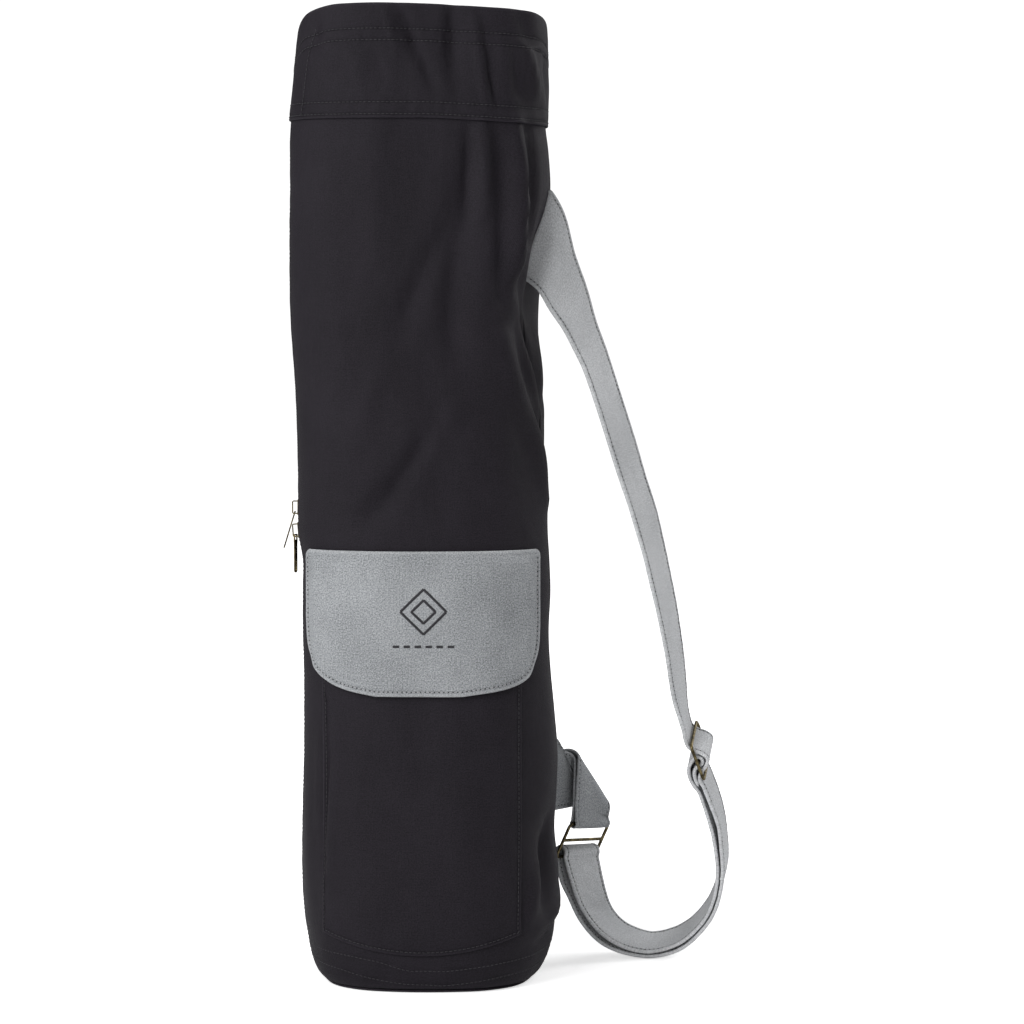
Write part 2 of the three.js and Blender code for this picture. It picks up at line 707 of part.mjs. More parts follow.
function readRibbon(rows) {
  const fine = [];
  const last = rows.length - 1;
  const lengths = [0];
  for (let i = 1; i <= last; i += 1) {
    lengths.push(lengths[i - 1] + rows[i].middle.distanceTo(rows[i - 1].middle));
  }
  const edges = rows.map((row, i) => {
    const half = row.wide.clone().multiplyScalar(row.width / 2);
    const low = row.middle.clone().sub(half);
    const high = row.middle.clone().add(half);
    return { at: lengths[i], ax: low.x, ay: low.y, az: low.z, bx: high.x, by: high.y, bz: high.z };
  });
  const read = (at) => {
    const pick = (column) => along(edges, "at", column, at);
    const low = new THREE.Vector3(pick("ax"), pick("ay"), pick("az"));
    const high = new THREE.Vector3(pick("bx"), pick("by"), pick("bz"));
    return edgeRow(low, high);
  };
  const total = lengths[last];
  const count = Math.round(total / ribbonStep);
  for (let i = 0; i <= count; i += 1) fine.push(read((total * i) / count));
  for (let i = 0; i <= count; i += 1) {
    const before = fine[Math.max(i - 1, 0)];
    const after = fine[Math.min(i + 1, count)];
    fine[i].lowFace = after.low.clone().sub(before.low).cross(fine[i].wide).normalize();
    fine[i].highFace = after.high.clone().sub(before.high).cross(fine[i].wide).normalize();
  }
  return fine;
}

function thinRibbon(fine, bend, stride) {
  const kept = [fine[0]];
  for (let i = 1; i < fine.length - 1; i += 1) {
    const from = kept[kept.length - 1];
    const next = fine[i + 1];
    const turned = Math.max(from.lowFace.angleTo(next.lowFace), from.highFace.angleTo(next.highFace));
    const twisted = from.wide.angleTo(next.wide);
    const reach = from.middle.distanceTo(next.middle);
    if (turned > bend || twisted > bend || reach > stride) kept.push(fine[i]);
  }
  kept.push(fine[fine.length - 1]);
  return kept;
}

function ribbonMesh(name, rows, thickness, look) {
  const sections = thinRibbon(readRibbon(rows), radians(ribbonBend), ribbonStride);
  const points = [];
  for (const section of sections) {
    const half = section.width / 2;
    const flat = half - ribbonEdge;
    const profile = [[-half, 0], [-flat, -thickness / 2], [flat, -thickness / 2]];
    profile.push([half, 0], [flat, thickness / 2], [-flat, thickness / 2]);
    for (const [side, rise] of profile) {
      const face = section.lowFace.clone().lerp(section.highFace, 0.5 + side / section.width).normalize();
      points.push(section.middle.clone().addScaledVector(section.wide, side).addScaledVector(face, rise));
    }
  }
  const size = 6;
  const faces = [];
  for (let i = 0; i < sections.length - 1; i += 1) {
    for (let k = 0; k < size; k += 1) {
      const next = (k + 1) % size;
      const [a, b, c, d] = [i * size + k, i * size + next, (i + 1) * size + next, (i + 1) * size + k];
      if (k < size / 2) faces.push([a, b, c], [a, c, d]);
      else faces.push([a, b, d], [b, c, d]);
    }
  }
  const end = (sections.length - 1) * size;
  for (let k = 1; k < size - 1; k += 1) {
    faces.push([0, k + 1, k], [end, end + k, end + k + 1]);
  }
  return closedMesh(name, points, faces, look);
}

// Shoulder strap, from its wide root on the seam down to the slider
// out, back and up are shares of the bag's width, depth and height
// turn and tip aim the strap's width, in degrees, and wide is a share of its usual width
const rootLow = 0.717 * bagHeight;
const rootHigh = 0.809 * bagHeight;
const rootStand = pieceGap + 1.8;
const strapRun = [
  { out: 0.499, back: -0.052, up: 0.746, turn: 45, tip: 64, wide: 1.6 },
  { out: 0.542, back: -0.03, up: 0.7166, turn: 38, tip: 55, wide: 1.32 },
  { out: 0.592, back: -0.008, up: 0.6895, turn: 35, tip: 45, wide: 1.11 },
  { out: 0.635, back: 0.026, up: 0.66, turn: 30, tip: 33, wide: 1.0 },
  { out: 0.675, back: 0.052, up: 0.6353, turn: 28, tip: 22, wide: 1.0 },
  { out: 0.731, back: 0.072, up: 0.5924, turn: 28, tip: 17, wide: 1.0 },
  { out: 0.833, back: 0.115, up: 0.5086, turn: 27, tip: 15, wide: 1.0 },
  { out: 0.884, back: 0.136, up: 0.4672, turn: 26, tip: 15, wide: 1.0 },
  { out: 0.944, back: 0.173, up: 0.4041, turn: 23, tip: 14, wide: 1.0 },
  { out: 0.993, back: 0.202, up: 0.3411, turn: 20, tip: 15, wide: 1.0 },
  { out: 1.021, back: 0.229, up: 0.2894, turn: 16, tip: 17, wide: 1.0 },
];

// Loop of the strap below the slider: the outer layer, and how far inside it the inner layer lies in mm
const strapLoop = [
  { out: 1.163, back: 0.285, up: 0.1762, turn: 9, tip: 19, layer: 6.6 },
  { out: 1.192, back: 0.305, up: 0.1532, turn: 8, tip: 18, layer: 5.6 },
  { out: 1.207, back: 0.326, up: 0.1286, turn: 9, tip: 17, layer: 5 },
  { out: 1.214, back: 0.354, up: 0.1003, turn: 9, tip: 15, layer: 4.8 },
  { out: 1.201, back: 0.381, up: 0.0746, turn: 8, tip: 15, layer: 5 },
  { out: 1.169, back: 0.401, up: 0.0513, turn: 8, tip: 15, layer: 5.4 },
  { out: 1.113, back: 0.422, up: 0.0306, turn: 8, tip: 13, layer: 5.4 },
  { out: 1.048, back: 0.435, up: 0.0169, turn: 8, tip: 13, layer: 5.2 },
  { out: 0.97, back: 0.442, up: 0.0093, turn: 9, tip: 13, layer: 5 },
  { out: 0.896, back: 0.435, up: 0.0079, turn: 11, tip: 12, layer: 5 },
  { out: 0.805, back: 0.418, up: 0.0144, turn: 17, tip: 12, layer: 5.4 },
  { out: 0.733, back: 0.408, up: 0.0252, turn: 23, tip: 9, layer: 6 },
  { out: 0.673, back: 0.384, up: 0.0444, turn: 30, tip: 2, layer: 6.6 },
  { out: 0.637, back: 0.352, up: 0.0671, turn: 38, tip: -4, layer: 6.9 },
  { out: 0.611, back: 0.334, up: 0.0849, turn: 42, tip: -5, layer: 6.9 },
];

// Strap path through the buckles: down along the buckle and out of its face, in mm
const throughSlider = [
  { down: -28, out: -2 },
  { down: -14, out: -3.4 },
  { down: -9, out: -0.4 },
  { down: -5, out: 4.6 },
  { down: 0, out: 7.2 },
  { down: 5, out: 4.6 },
  { down: 9, out: -0.4 },
  { down: 14, out: -3.4 },
  { down: 21, out: -2.8 },
];
const sewnEnd = [
  { down: 25, out: -7.4 },
  { down: 18, out: -9.3 },
  { down: 12, out: -10.2 },
  { down: 6, out: -9.2 },
  { down: 1.5, out: -6.8 },
];
const sewnTail = [
  { down: 5.4, out: -3.9 },
  { down: 9.5, out: -5.9 },
  { down: 14, out: -6.4 },
  { down: 19, out: -5.9 },
];

// Turns that the strap makes round the bars, in degrees
const ringWrap = 100;
const endWrapFrom = -40;
const endWrapTo = 165;

function aimed(turn, tip) {
  const flat = Math.cos(radians(tip));
  const side = flat * Math.sin(radians(turn));
  return new THREE.Vector3(side, flat * Math.cos(radians(turn)), Math.sin(radians(tip)));
}

// Arc of the strap round a bar, from one side of the buckle's face to the other
const barSteps = 10;

function roundBar(frame, barDown, from, to, radius, width) {
  return shares(barSteps).map((s) => {
    const turn = radians(mix(from, to, s));
    const middle = inFrame(frame, barDown - radius * Math.cos(turn), radius * Math.sin(turn));
    return { middle, wide: frame.w, width };
  });
}

function strapRows() {
  const rootBottom = clothPoint(seamBearing(rootLow), rootLow, rootStand);
  const rootTop = clothPoint(seamBearing(rootHigh), rootHigh, rootStand);
  const rows = [edgeRow(rootBottom, rootTop)];
  for (const row of strapRun) {
    const middle = place(row.out, row.back, row.up);
    rows.push({ middle, wide: aimed(row.turn, row.tip), width: row.wide * strapWidth });
  }
  for (const row of throughSlider) {
    rows.push({ middle: inFrame(sliderFrame, row.down, row.out), wide: sliderFrame.w, width: strapWidth });
  }
  const outer = strapLoop.map((row) => ({
    middle: place(row.out, row.back, row.up),
    wide: aimed(row.turn, row.tip),
    width: strapWidth,
  }));
  rows.push(...outer);
  rows.push(...roundBar(ringFrame, barSpacing, -ringWrap, ringWrap, wrapRadius, strapWidth));
  const inner = outer.map((row, i) => {
    const before = outer[Math.max(i - 1, 0)].middle;
    const after = outer[Math.min(i + 1, outer.length - 1)].middle;
    const inwards = row.wide.clone().cross(after.clone().sub(before)).normalize();
    return { ...row, middle: row.middle.clone().addScaledVector(inwards, strapLoop[i].layer) };
  });
  rows.push(...inner.slice(1, -1).reverse());
  for (const row of sewnEnd) {
    rows.push({ middle: inFrame(sliderFrame, row.down, row.out), wide: sliderFrame.w, width: strapWidth });
  }
  rows.push(...roundBar(sliderFrame, 0, endWrapFrom, endWrapTo, wrapRadius, strapWidth));
  for (const row of sewnTail) {
    rows.push({ middle: inFrame(sliderFrame, row.down, row.out), wide: sliderFrame.w, width: strapWidth });
  }
  return rows;
}

const shoulderStrap = ribbonMesh("shoulder_strap", strapRows(), strapThickness, greyCloth);

// Tab: doubled strap cloth that leaves the seam, folds over on a slant and turns down to the ring's top bar
const tabLow = 0.163 * bagHeight;
const tabHigh = 0.241 * bagHeight;
const tabLayerThickness = 1.6;
const tabThickness = 2 * tabLayerThickness + 0.2;
const tabStand = pieceGap + 1.7;
const tabFoldHigh = 46;
const tabFoldLow = 4.5;
const tabFoldSlide = 9;
const tabFoldSteps = 6;
const tabWrapFrom = 40;
const tabWrapTo = 320;
const eyeRoot = 7;
const barRadius = wrapRadius - strapThickness / 2 + tabLayerThickness / 2;
const eyeSide = tabThickness / 2 - tabLayerThickness / 2 - 0.1;
const eyeFrame = buckleFrame(inFrame(ringFrame, -barSpacing, 0), ringFrame.w, new THREE.Vector3(-0.05, -0.075, -0.99));

// Rows of the tab: the root on the seam, the turns of the slanting fold, and the end above the ring's bar
function tabRows() {
  const top = clothPoint(seamBearing(tabHigh), tabHigh, tabStand);
  const bottom = clothPoint(seamBearing(tabLow), tabLow, tabStand);
  const rows = [edgeRow(top, bottom)];
  const radii = [top, bottom].map((root) => -root.clone().sub(eyeFrame.middle).dot(eyeFrame.n) / 2);
  const half = strapWidth / 2;
  const slant = new THREE.Vector2(2 * half, tabFoldLow - tabFoldHigh).normalize();
  for (const share of shares(tabFoldSteps)) {
    const turn = Math.PI * share;
    const slide = tabFoldSlide * (share - 1);
    const ends = radii.map((radius, i) => {
      const bulge = radius * Math.sin(turn);
      const across = (i === 0 ? -half : half) + slide * slant.x - bulge * slant.y;
      const up = (i === 0 ? tabFoldHigh : tabFoldLow) + slide * slant.y + bulge * slant.x;
      return inFrame(eyeFrame, -up, -radius * (1 + Math.cos(turn)), across);
    });
    rows.push(edgeRow(...ends));
  }
  const end = inFrame(eyeFrame, -barRadius, 0);
  rows.push({ middle: end, wide: eyeFrame.w, width: strapWidth });
  return rows;
}

// Eye at the tab's end that goes round the ring's top bar
function eyeRows() {
  const lead = (side) => {
    const middle = inFrame(eyeFrame, -eyeRoot, side * eyeSide);
    return { middle, wide: eyeFrame.w, width: strapWidth };
  };
  return [lead(1), ...roundBar(eyeFrame, 0, tabWrapFrom, tabWrapTo, barRadius, strapWidth), lead(-1)];
}

const tabBody = ribbonMesh("tab_body", tabRows(), tabThickness, greyCloth);
const tabEye = ribbonMesh("tab_eye", eyeRows(), tabLayerThickness, greyCloth);
const tabSolid = toSolid(tabBody.geometry).add(toSolid(tabEye.geometry));
const strapTab = fromSolid("strap_tab", tabSolid, greyCloth);

const bag = new THREE.Group();
bag.name = "yoga_mat_bag";
bag.add(basePanel, frontPanel, backPanel, collar, pocket, flap, zipTape, zipTeeth);
bag.add(upperSlider, lowerSlider, upperPull.mesh, lowerPull.mesh);
bag.add(shoulderStrap, strapSlider, strapTab, strapRing);

export default bag;
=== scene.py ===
import math

import bmesh
import bpy
import numpy as np
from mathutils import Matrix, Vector
from mathutils.geometry import delaunay_2d_cdt


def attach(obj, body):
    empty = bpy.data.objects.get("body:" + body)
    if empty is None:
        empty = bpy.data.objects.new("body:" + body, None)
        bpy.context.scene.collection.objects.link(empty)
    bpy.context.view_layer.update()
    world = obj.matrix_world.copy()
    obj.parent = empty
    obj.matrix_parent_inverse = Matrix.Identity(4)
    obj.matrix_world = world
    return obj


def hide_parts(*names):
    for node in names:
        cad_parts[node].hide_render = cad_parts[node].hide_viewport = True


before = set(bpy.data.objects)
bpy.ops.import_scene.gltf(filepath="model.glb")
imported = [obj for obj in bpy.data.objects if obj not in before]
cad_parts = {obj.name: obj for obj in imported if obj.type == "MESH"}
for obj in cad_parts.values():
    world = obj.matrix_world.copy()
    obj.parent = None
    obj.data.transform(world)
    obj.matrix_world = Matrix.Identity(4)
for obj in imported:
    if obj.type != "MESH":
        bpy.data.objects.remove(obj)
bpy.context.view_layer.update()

# ---------------------------------------------------------------------------
# Studio: a wide pale paper floor and a white room. A large soft light stands high at the front left,
# and a weaker one behind on the right lights the strap's edge.
# ---------------------------------------------------------------------------
METRE = 1000.0  # every other length here is in mm, apart from the camera, floor and lights
CAMERA_LENS = 119.6
CAMERA_PLACE = (0.0614, -2.400, 0.480)
CAMERA_DIP = 86.39
CAMERA_SENSOR = 36.0
FLOOR_RADIUS = 6.0
FLOOR_SIDES = 96
FLOOR_UNDER_BASE = 0.0002
PAPER = (0.88, 0.88, 0.885, 1.0)
WHITE = (1.0, 1.0, 1.0, 1.0)
# how far from the bag in metres the paper starts and ends its rise, and how bright the camera sees it there
PAPER_RISE = (0.22, 0.8, 0.60, 1.05)

camera_data = bpy.data.cameras.new("camera")
camera_data.lens = CAMERA_LENS
camera_data.sensor_width = CAMERA_SENSOR
camera = bpy.data.objects.new("camera", camera_data)
camera.location = CAMERA_PLACE
camera.rotation_euler = (math.radians(CAMERA_DIP), 0.0, 0.0)
bpy.context.collection.objects.link(camera)
bpy.context.scene.camera = camera
bpy.context.scene.view_settings.view_transform = "Standard"


class Wiring:
    """Adds nodes to one tree and joins them."""

    def __init__(self, tree):
        self.tree = tree

    def feed(self, socket, value):
        if isinstance(value, bpy.types.NodeSocket):
            self.tree.links.new(value, socket)
        else:
            socket.default_value = value

    def math(self, operation, *values):
        node = self.tree.nodes.new("ShaderNodeMath")
        node.operation = operation
        for socket, value in zip(node.inputs, values):
            self.feed(socket, value)
        return node.outputs[0]

    def add(self, first, second):
        return self.math("ADD", first, second)

    def times(self, first, second):
        return self.math("MULTIPLY", first, second)

    def noise(self, vector, scale, detail=3.0, rough=0.55):
        node = self.tree.nodes.new("ShaderNodeTexNoise")
        self.feed(node.inputs["Vector"], vector)
        self.feed(node.inputs["Scale"], scale)
        node.inputs["Detail"].default_value = detail
        node.inputs["Roughness"].default_value = rough
        return node.outputs["Fac"]

    def stretch(self, vector, scale):
        node = self.tree.nodes.new("ShaderNodeMapping")
        self.feed(node.inputs["Vector"], vector)
        node.inputs["Scale"].default_value = scale
        return node.outputs[0]

    def span(self, value, low, high, to_low=0.0, to_high=1.0):
        node = self.tree.nodes.new("ShaderNodeMapRange")
        self.feed(node.inputs["Value"], value)
        for label, number in zip(("From Min", "From Max", "To Min", "To Max"), (low, high, to_low, to_high)):
            node.inputs[label].default_value = number
        return node.outputs[0]

    def mix(self, share, first, second):
        node = self.tree.nodes.new("ShaderNodeMix")
        node.data_type = "RGBA"
        self.feed(node.inputs[0], share)
        self.feed(node.inputs[6], first)
        self.feed(node.inputs[7], second)
        return node.outputs[2]

    def place(self):
        return self.tree.nodes.new("ShaderNodeTexCoord").outputs["Object"]

    def mark(self, name):
        node = self.tree.nodes.new("ShaderNodeAttribute")
        node.attribute_name = name
        return node.outputs["Fac"]

    def bump(self, height, strength, distance, under=None):
        node = self.tree.nodes.new("ShaderNodeBump")
        node.inputs["Strength"].default_value = strength
        node.inputs["Distance"].default_value = distance
        self.feed(node.inputs["Height"], height)
        if under is not None:
            self.feed(node.inputs["Normal"], under)
        return node.outputs[0]

    def finish(self, shader, sockets):
        for label, value in sockets.items():
            self.feed(shader.inputs[label], value)


def new_material(name):
    """A new material, the wiring of its nodes and its Principled shader."""
    material = bpy.data.materials.new(name)
    material.use_nodes = True
    return material, Wiring(material.node_tree), material.node_tree.nodes["Principled BSDF"]


def floor_disc():
    mesh = bmesh.new()
    bmesh.ops.create_circle(mesh, cap_ends=True, segments=FLOOR_SIDES, radius=FLOOR_RADIUS)
    data = bpy.data.meshes.new("floor")
    mesh.to_mesh(data)
    mesh.free()
    disc = bpy.data.objects.new("floor", data)
    disc.location = (0.0, 0.0, -FLOOR_UNDER_BASE)
    bpy.context.collection.objects.link(disc)
    return disc


def floor_finish():
    """White paper that the camera sees a little brighter than it lights the bag."""
    material, w, shader = new_material("paper_floor")
    path = w.tree.nodes.new("ShaderNodeLightPath")
    reach = w.tree.nodes.new("ShaderNodeVectorMath")
    reach.operation = "LENGTH"
    w.feed(reach.inputs[0], w.place())
    lift = w.times(path.outputs["Is Camera Ray"], w.span(reach.outputs["Value"], *PAPER_RISE))
    w.finish(shader, {
        "Base Color": PAPER, "Roughness": 0.9, "Emission Color": WHITE, "Emission Strength": lift})
    return material


def room_light(seen, given):
    """White all round: one strength for the camera and one for what the room gives to the bag."""
    world = bpy.data.worlds.new("room")
    world.use_nodes = True
    bpy.context.scene.world = world
    tree = world.node_tree
    tree.nodes.clear()
    output = tree.nodes.new("ShaderNodeOutputWorld")
    mix = tree.nodes.new("ShaderNodeMixShader")
    path = tree.nodes.new("ShaderNodeLightPath")
    for index, strength in ((1, given), (2, seen)):
        background = tree.nodes.new("ShaderNodeBackground")
        background.inputs["Color"].default_value = WHITE
        background.inputs["Strength"].default_value = strength
        tree.links.new(background.outputs[0], mix.inputs[index])
    tree.links.new(path.outputs["Is Camera Ray"], mix.inputs[0])
    tree.links.new(mix.outputs[0], output.inputs["Surface"])


def soft_light(name, place, aim, size, power):
    data = bpy.data.lights.new(name, "AREA")
    data.shape = "SQUARE"
    data.size = size
    data.energy = power
    lamp = bpy.data.objects.new(name, data)
    lamp.location = place
    lamp.rotation_euler = (Vector(aim) - Vector(place)).to_track_quat("-Z", "Y").to_euler()
    bpy.context.collection.objects.link(lamp)


floor = floor_disc()
floor.data.materials.append(floor_finish())
room_light(seen=1.1, given=0.24)
soft_light("key", place=(-1.9, -2.1, 1.9), aim=(0.03, 0.0, 0.35), size=2.2, power=96.0)
soft_light("rim", place=(2.1, 1.15, 1.9), aim=(0.05, 0.0, 0.33), size=2.0, power=48.0)

# ---------------------------------------------------------------------------
# Bag shape: the cloth stands as a tall tube, rounder than an oval, with a hollow under the strap root.
# It comes from a table of heights, and soft creases are pressed into it where the canvas buckles.
# ---------------------------------------------------------------------------
BAG_HEIGHT = 686.0
BAG_WIDTH = 178.0
BAG_DEPTH = 150.0
WALL = 1.8
PIECE_GAP = 0.3
LAID_GAP = 0.8
SQUARENESS = 2.6

# share of the height, middle as a share of the width, half width and half depth as shares
BAG_SECTIONS = np.array([
    (0.0, 0.012, 0.831, 0.973), (0.009, 0.014, 0.893, 1.013), (0.023, 0.017, 0.94, 1.04),
    (0.044, 0.021, 0.978, 1.053), (0.069, 0.022, 1.007, 1.053), (0.109, 0.019, 1.018, 1.04),
    (0.149, 0.011, 1.002, 1.013), (0.191, 0.017, 1.006, 0.987), (0.232, 0.022, 1.006, 0.96),
    (0.274, 0.017, 0.994, 0.947), (0.315, 0.01, 0.98, 0.933), (0.357, 0.004, 0.975, 0.92),
    (0.398, 0.007, 0.979, 0.907), (0.432, 0.005, 0.973, 0.887), (0.456, -0.006, 0.984, 0.867),
    (0.481, -0.008, 0.984, 0.853), (0.522, -0.012, 0.976, 0.84), (0.605, -0.021, 0.971, 0.813),
    (0.687, -0.029, 0.993, 0.787), (0.769, -0.016, 1.027, 0.747), (0.809, -0.012, 1.03, 0.733),
    (0.85, -0.018, 1.018, 0.72), (0.875, -0.022, 1.003, 0.707), (0.911, -0.013, 0.992, 0.68),
    (0.936, -0.01, 0.979, 0.66), (0.968, -0.006, 0.963, 0.64), (1.006, -0.003, 0.949, 0.62),
])

# bearing and height share of the middle, spread in degrees, tallness as a share, push in mm
BAG_FOLDS = (
    (-8, 0.713, 13, 0.073, -15.5), (-37, 0.79, 7, 0.1, 2.2), (-27, 0.6, 7, 0.085, -2.6),
    (-15, 0.585, 6, 0.06, 2.0), (-24, 0.12, 9, 0.045, -4.5), (-38, 0.1, 8, 0.05, 1.5),
    (212, 0.16, 6, 0.09, -1.8), (-43, 0.955, 10, 0.04, -3.5), (-66, 0.95, 14, 0.05, -2.0),
    (207, 0.975, 6, 0.035, -1.5), (62, 0.7, 15, 0.12, -4.0), (122, 0.45, 17, 0.15, -3.0),
    (92, 0.25, 20, 0.12, 2.0),
)

# creases: bearing and height in mm of the two ends, width in mm, push in mm
CREASES = (
    (-31.5, 600, -31.5, 540, 4.5, 2.8), (-31.5, 545, -32.0, 494, 4.5, 2.6),
    (-24.5, 595, -25.0, 520, 4.0, -2.6), (-40.0, 590, -40.0, 480, 5.0, -2.2),
    (-29.0, 492, 2.0, 410, 7.0, -3.8), (3.0, 462, 10.0, 372, 4.5, 1.4), (-28.5, 457, 8.0, 321, 9.0, -4.2),
    (-40.0, 450, -12.0, 340, 9.0, 2.6), (283.5, 389, 240.5, 330, 9.0, -3.0),
    (285.0, 523, 260.0, 458, 11.0, -1.9), (292.0, 402, 262.0, 352, 8.0, 1.8),
    (-48.0, 600, -50.0, 540, 5.0, 2.2), (-55.0, 596, -57.0, 530, 5.5, -1.9),
    (-60.0, 560, -66.0, 450, 13.0, -2.4), (236.0, 590, 246.0, 500, 10.0, 0.7),
    (225.0, 560, 233.0, 430, 9.0, -0.8), (250.0, 440, 231.0, 380, 8.0, 0.7),
    (217.5, 200, 218.5, 83, 3.5, -1.6), (223.0, 190, 224.0, 90, 4.0, 0.7),
    (211.0, 175, 212.0, 110, 4.0, 0.8), (12.0, 45, -42.0, 27, 5.0, -1.3), (14.0, 58, -36.0, 38, 6.0, 1.2),
    (-20.0, 112, -27.5, 58, 7.0, -3.0), (-34.0, 84, -44.0, 40, 6.0, 1.6), (-50.0, 200, -54.0, 60, 8.0, 0.6),
    (-44.5, 636, -40.0, 612, 5.0, -1.5), (-34.0, 644, -28.0, 616, 4.5, -1.5),
    (-12.0, 645, -9.0, 618, 4.5, -1.4), (-28.5, 680, -22.0, 655, 5.0, -1.2),
    (-50.0, 668, -45.0, 612, 4.0, 1.8), (-37.0, 660, -33.0, 630, 3.5, 1.5),
    (-24.0, 650, -20.0, 622, 3.5, 1.6), (-64.0, 690, -62.0, 622, 12.0, -2.6),
    (249.0, 680, 264.0, 650, 6.0, -1.5), (256.5, 673, 276.0, 638, 5.0, -1.0),
    (262.0, 655, 284.0, 620, 6.0, -1.0), (241.0, 675, 251.0, 650, 4.0, 1.0),
    (201.5, 674, 205.0, 652, 4.0, -1.6), (231.0, 655, 243.0, 628, 6.0, -1.1),
    (222.0, 650, 232.0, 618, 5.0, 0.9), (40.0, 560, 75.0, 470, 9.0, -1.4),
    (58.0, 420, 30.0, 350, 8.0, -1.1), (104.0, 640, 98.0, 520, 8.0, -0.8),
    (130.0, 560, 150.0, 470, 8.0, -1.0), (80.0, 300, 120.0, 220, 9.0, -1.2),
    (140.0, 190, 105.0, 120, 8.0, -1.0), (60.0, 120, 85.0, 40, 8.0, -1.3),
    (150.0, 60, 118.0, 24, 6.0, -1.0), (26.0, 260, 34.0, 160, 6.0, -1.2), (20.0, 560, 27.0, 480, 6.0, 1.0),
    (165.0, 420, 150.0, 340, 7.0, -0.9), (110.0, 665, 122.0, 636, 4.0, -1.1),
    (70.0, 668, 62.0, 640, 4.0, -1.2),
)
CREASE_RADIUS = 82.0
CREASE_DEPTH = 1.9
CREASE_END = 0.45  # depth of a crease at its ends, as a share of its middle's

# soft unevenness: waves round the bag, waves up the bag, phase, height in mm
RIPPLES = (
    (5, 3.2, 0.4, 0.32), (8, -5.1, 1.9, 0.24), (13, 7.3, 3.1, 0.14),
    (3, 9.4, 5.0, 0.16), (17, -12.2, 0.9, 0.08), (11, 15.7, 2.2, 0.07),
)


def along(table, column, at):
    """Smooth curve through one column of a table, read at any places along its first column."""
    keys, values = table[:, 0], table[:, column]
    at = np.clip(at, keys[0], keys[-1])
    last = len(keys) - 1
    i = np.clip(np.searchsorted(keys, at, side="right") - 1, 0, last - 1)
    before, after = np.maximum(i - 1, 0), np.minimum(i + 2, last)
    step = keys[i + 1] - keys[i]
    t = (at - keys[i]) / step
    slope_a = (values[i + 1] - values[before]) / (keys[i + 1] - keys[before]) * step
    slope_b = (values[after] - values[i]) / (keys[after] - keys[i]) * step
    t2 = t * t
    t3 = t2 * t
    start = (2 * t3 - 3 * t2 + 1) * values[i] + (t3 - 2 * t2 + t) * slope_a
    return start + (3 * t2 - 2 * t3) * values[i + 1] + (t3 - t2) * slope_b


def turn_from(bearing, start):
    return (bearing - start + 540.0) % 360.0 - 180.0


def fold_push(bearing, z):
    """How far the big folds, the creases and the soft unevenness push the cloth, in mm."""
    up = z / BAG_HEIGHT
    push = np.zeros(np.broadcast(bearing, z).shape)
    for middle, height, spread, tall, depth in BAG_FOLDS:
        push += depth * np.exp(-(turn_from(bearing, middle) / spread) ** 2 - ((up - height) / tall) ** 2)
    for b0, z0, b1, z1, width, depth in CREASES:
        run = np.radians(turn_from(b1, b0)) * CREASE_RADIUS
        rise = z1 - z0
        across = np.radians(turn_from(bearing, b0)) * CREASE_RADIUS
        share = np.clip((across * run + (z - z0) * rise) / (run * run + rise * rise), 0.0, 1.0)
        away = np.hypot(across - share * run, z - z0 - share * rise)
        taper = CREASE_END + (1 - CREASE_END) * np.sin(math.pi * np.clip(share, 0.04, 0.96))
        push += CREASE_DEPTH * depth * taper * np.exp(-(away / width) ** 2)
    for round_waves, up_waves, phase, height in RIPPLES:
        push += height * np.sin(np.radians(bearing) * round_waves + up * up_waves * 2.0 + phase)
    return push


def bag_surface(bearing, z):
    up = z / BAG_HEIGHT
    wide = along(BAG_SECTIONS, 2, up) * BAG_WIDTH / 2
    deep = along(BAG_SECTIONS, 3, up) * BAG_DEPTH / 2
    c = np.cos(np.radians(bearing))
    s = np.sin(np.radians(bearing))
    total = (np.abs(c) / wide) ** SQUARENESS + (np.abs(s) / deep) ** SQUARENESS
    reach = total ** (-1 / SQUARENESS) + fold_push(bearing, z)
    middle = along(BAG_SECTIONS, 1, up) * BAG_WIDTH
    return np.stack([middle + reach * c, reach * s, z + 0 * reach], -1)


def outward(bearing, z):
    side = bag_surface(bearing + 0.5, z) - bag_surface(bearing - 0.5, z)
    out = np.stack([side[..., 1], -side[..., 0], 0 * side[..., 0]], -1)
    return out / np.linalg.norm(out, axis=-1, keepdims=True)


def bag_point(bearing, z, off):
    """Points on the bag's cloth, moved outwards by off, in mm."""
    off = np.asarray(off, float)
    return bag_surface(bearing, z) + outward(bearing, z) * off[..., None]


# ---------------------------------------------------------------------------
# Black canvas: stout cotton twill, dyed black, a little dusty and paler where it is rubbed.
# The weave group draws yarns, specks and slight crumples from the cloth's own length and width.
# ---------------------------------------------------------------------------
WEAVE_OUTPUTS = ("Height", "Thread", "Speckle", "Blotch", "Crumple")
TWILL_SLANT = 0.62
FINE, SOFT = 1500.0, 60.0  # how many slubs to the metre across a yarn and along it


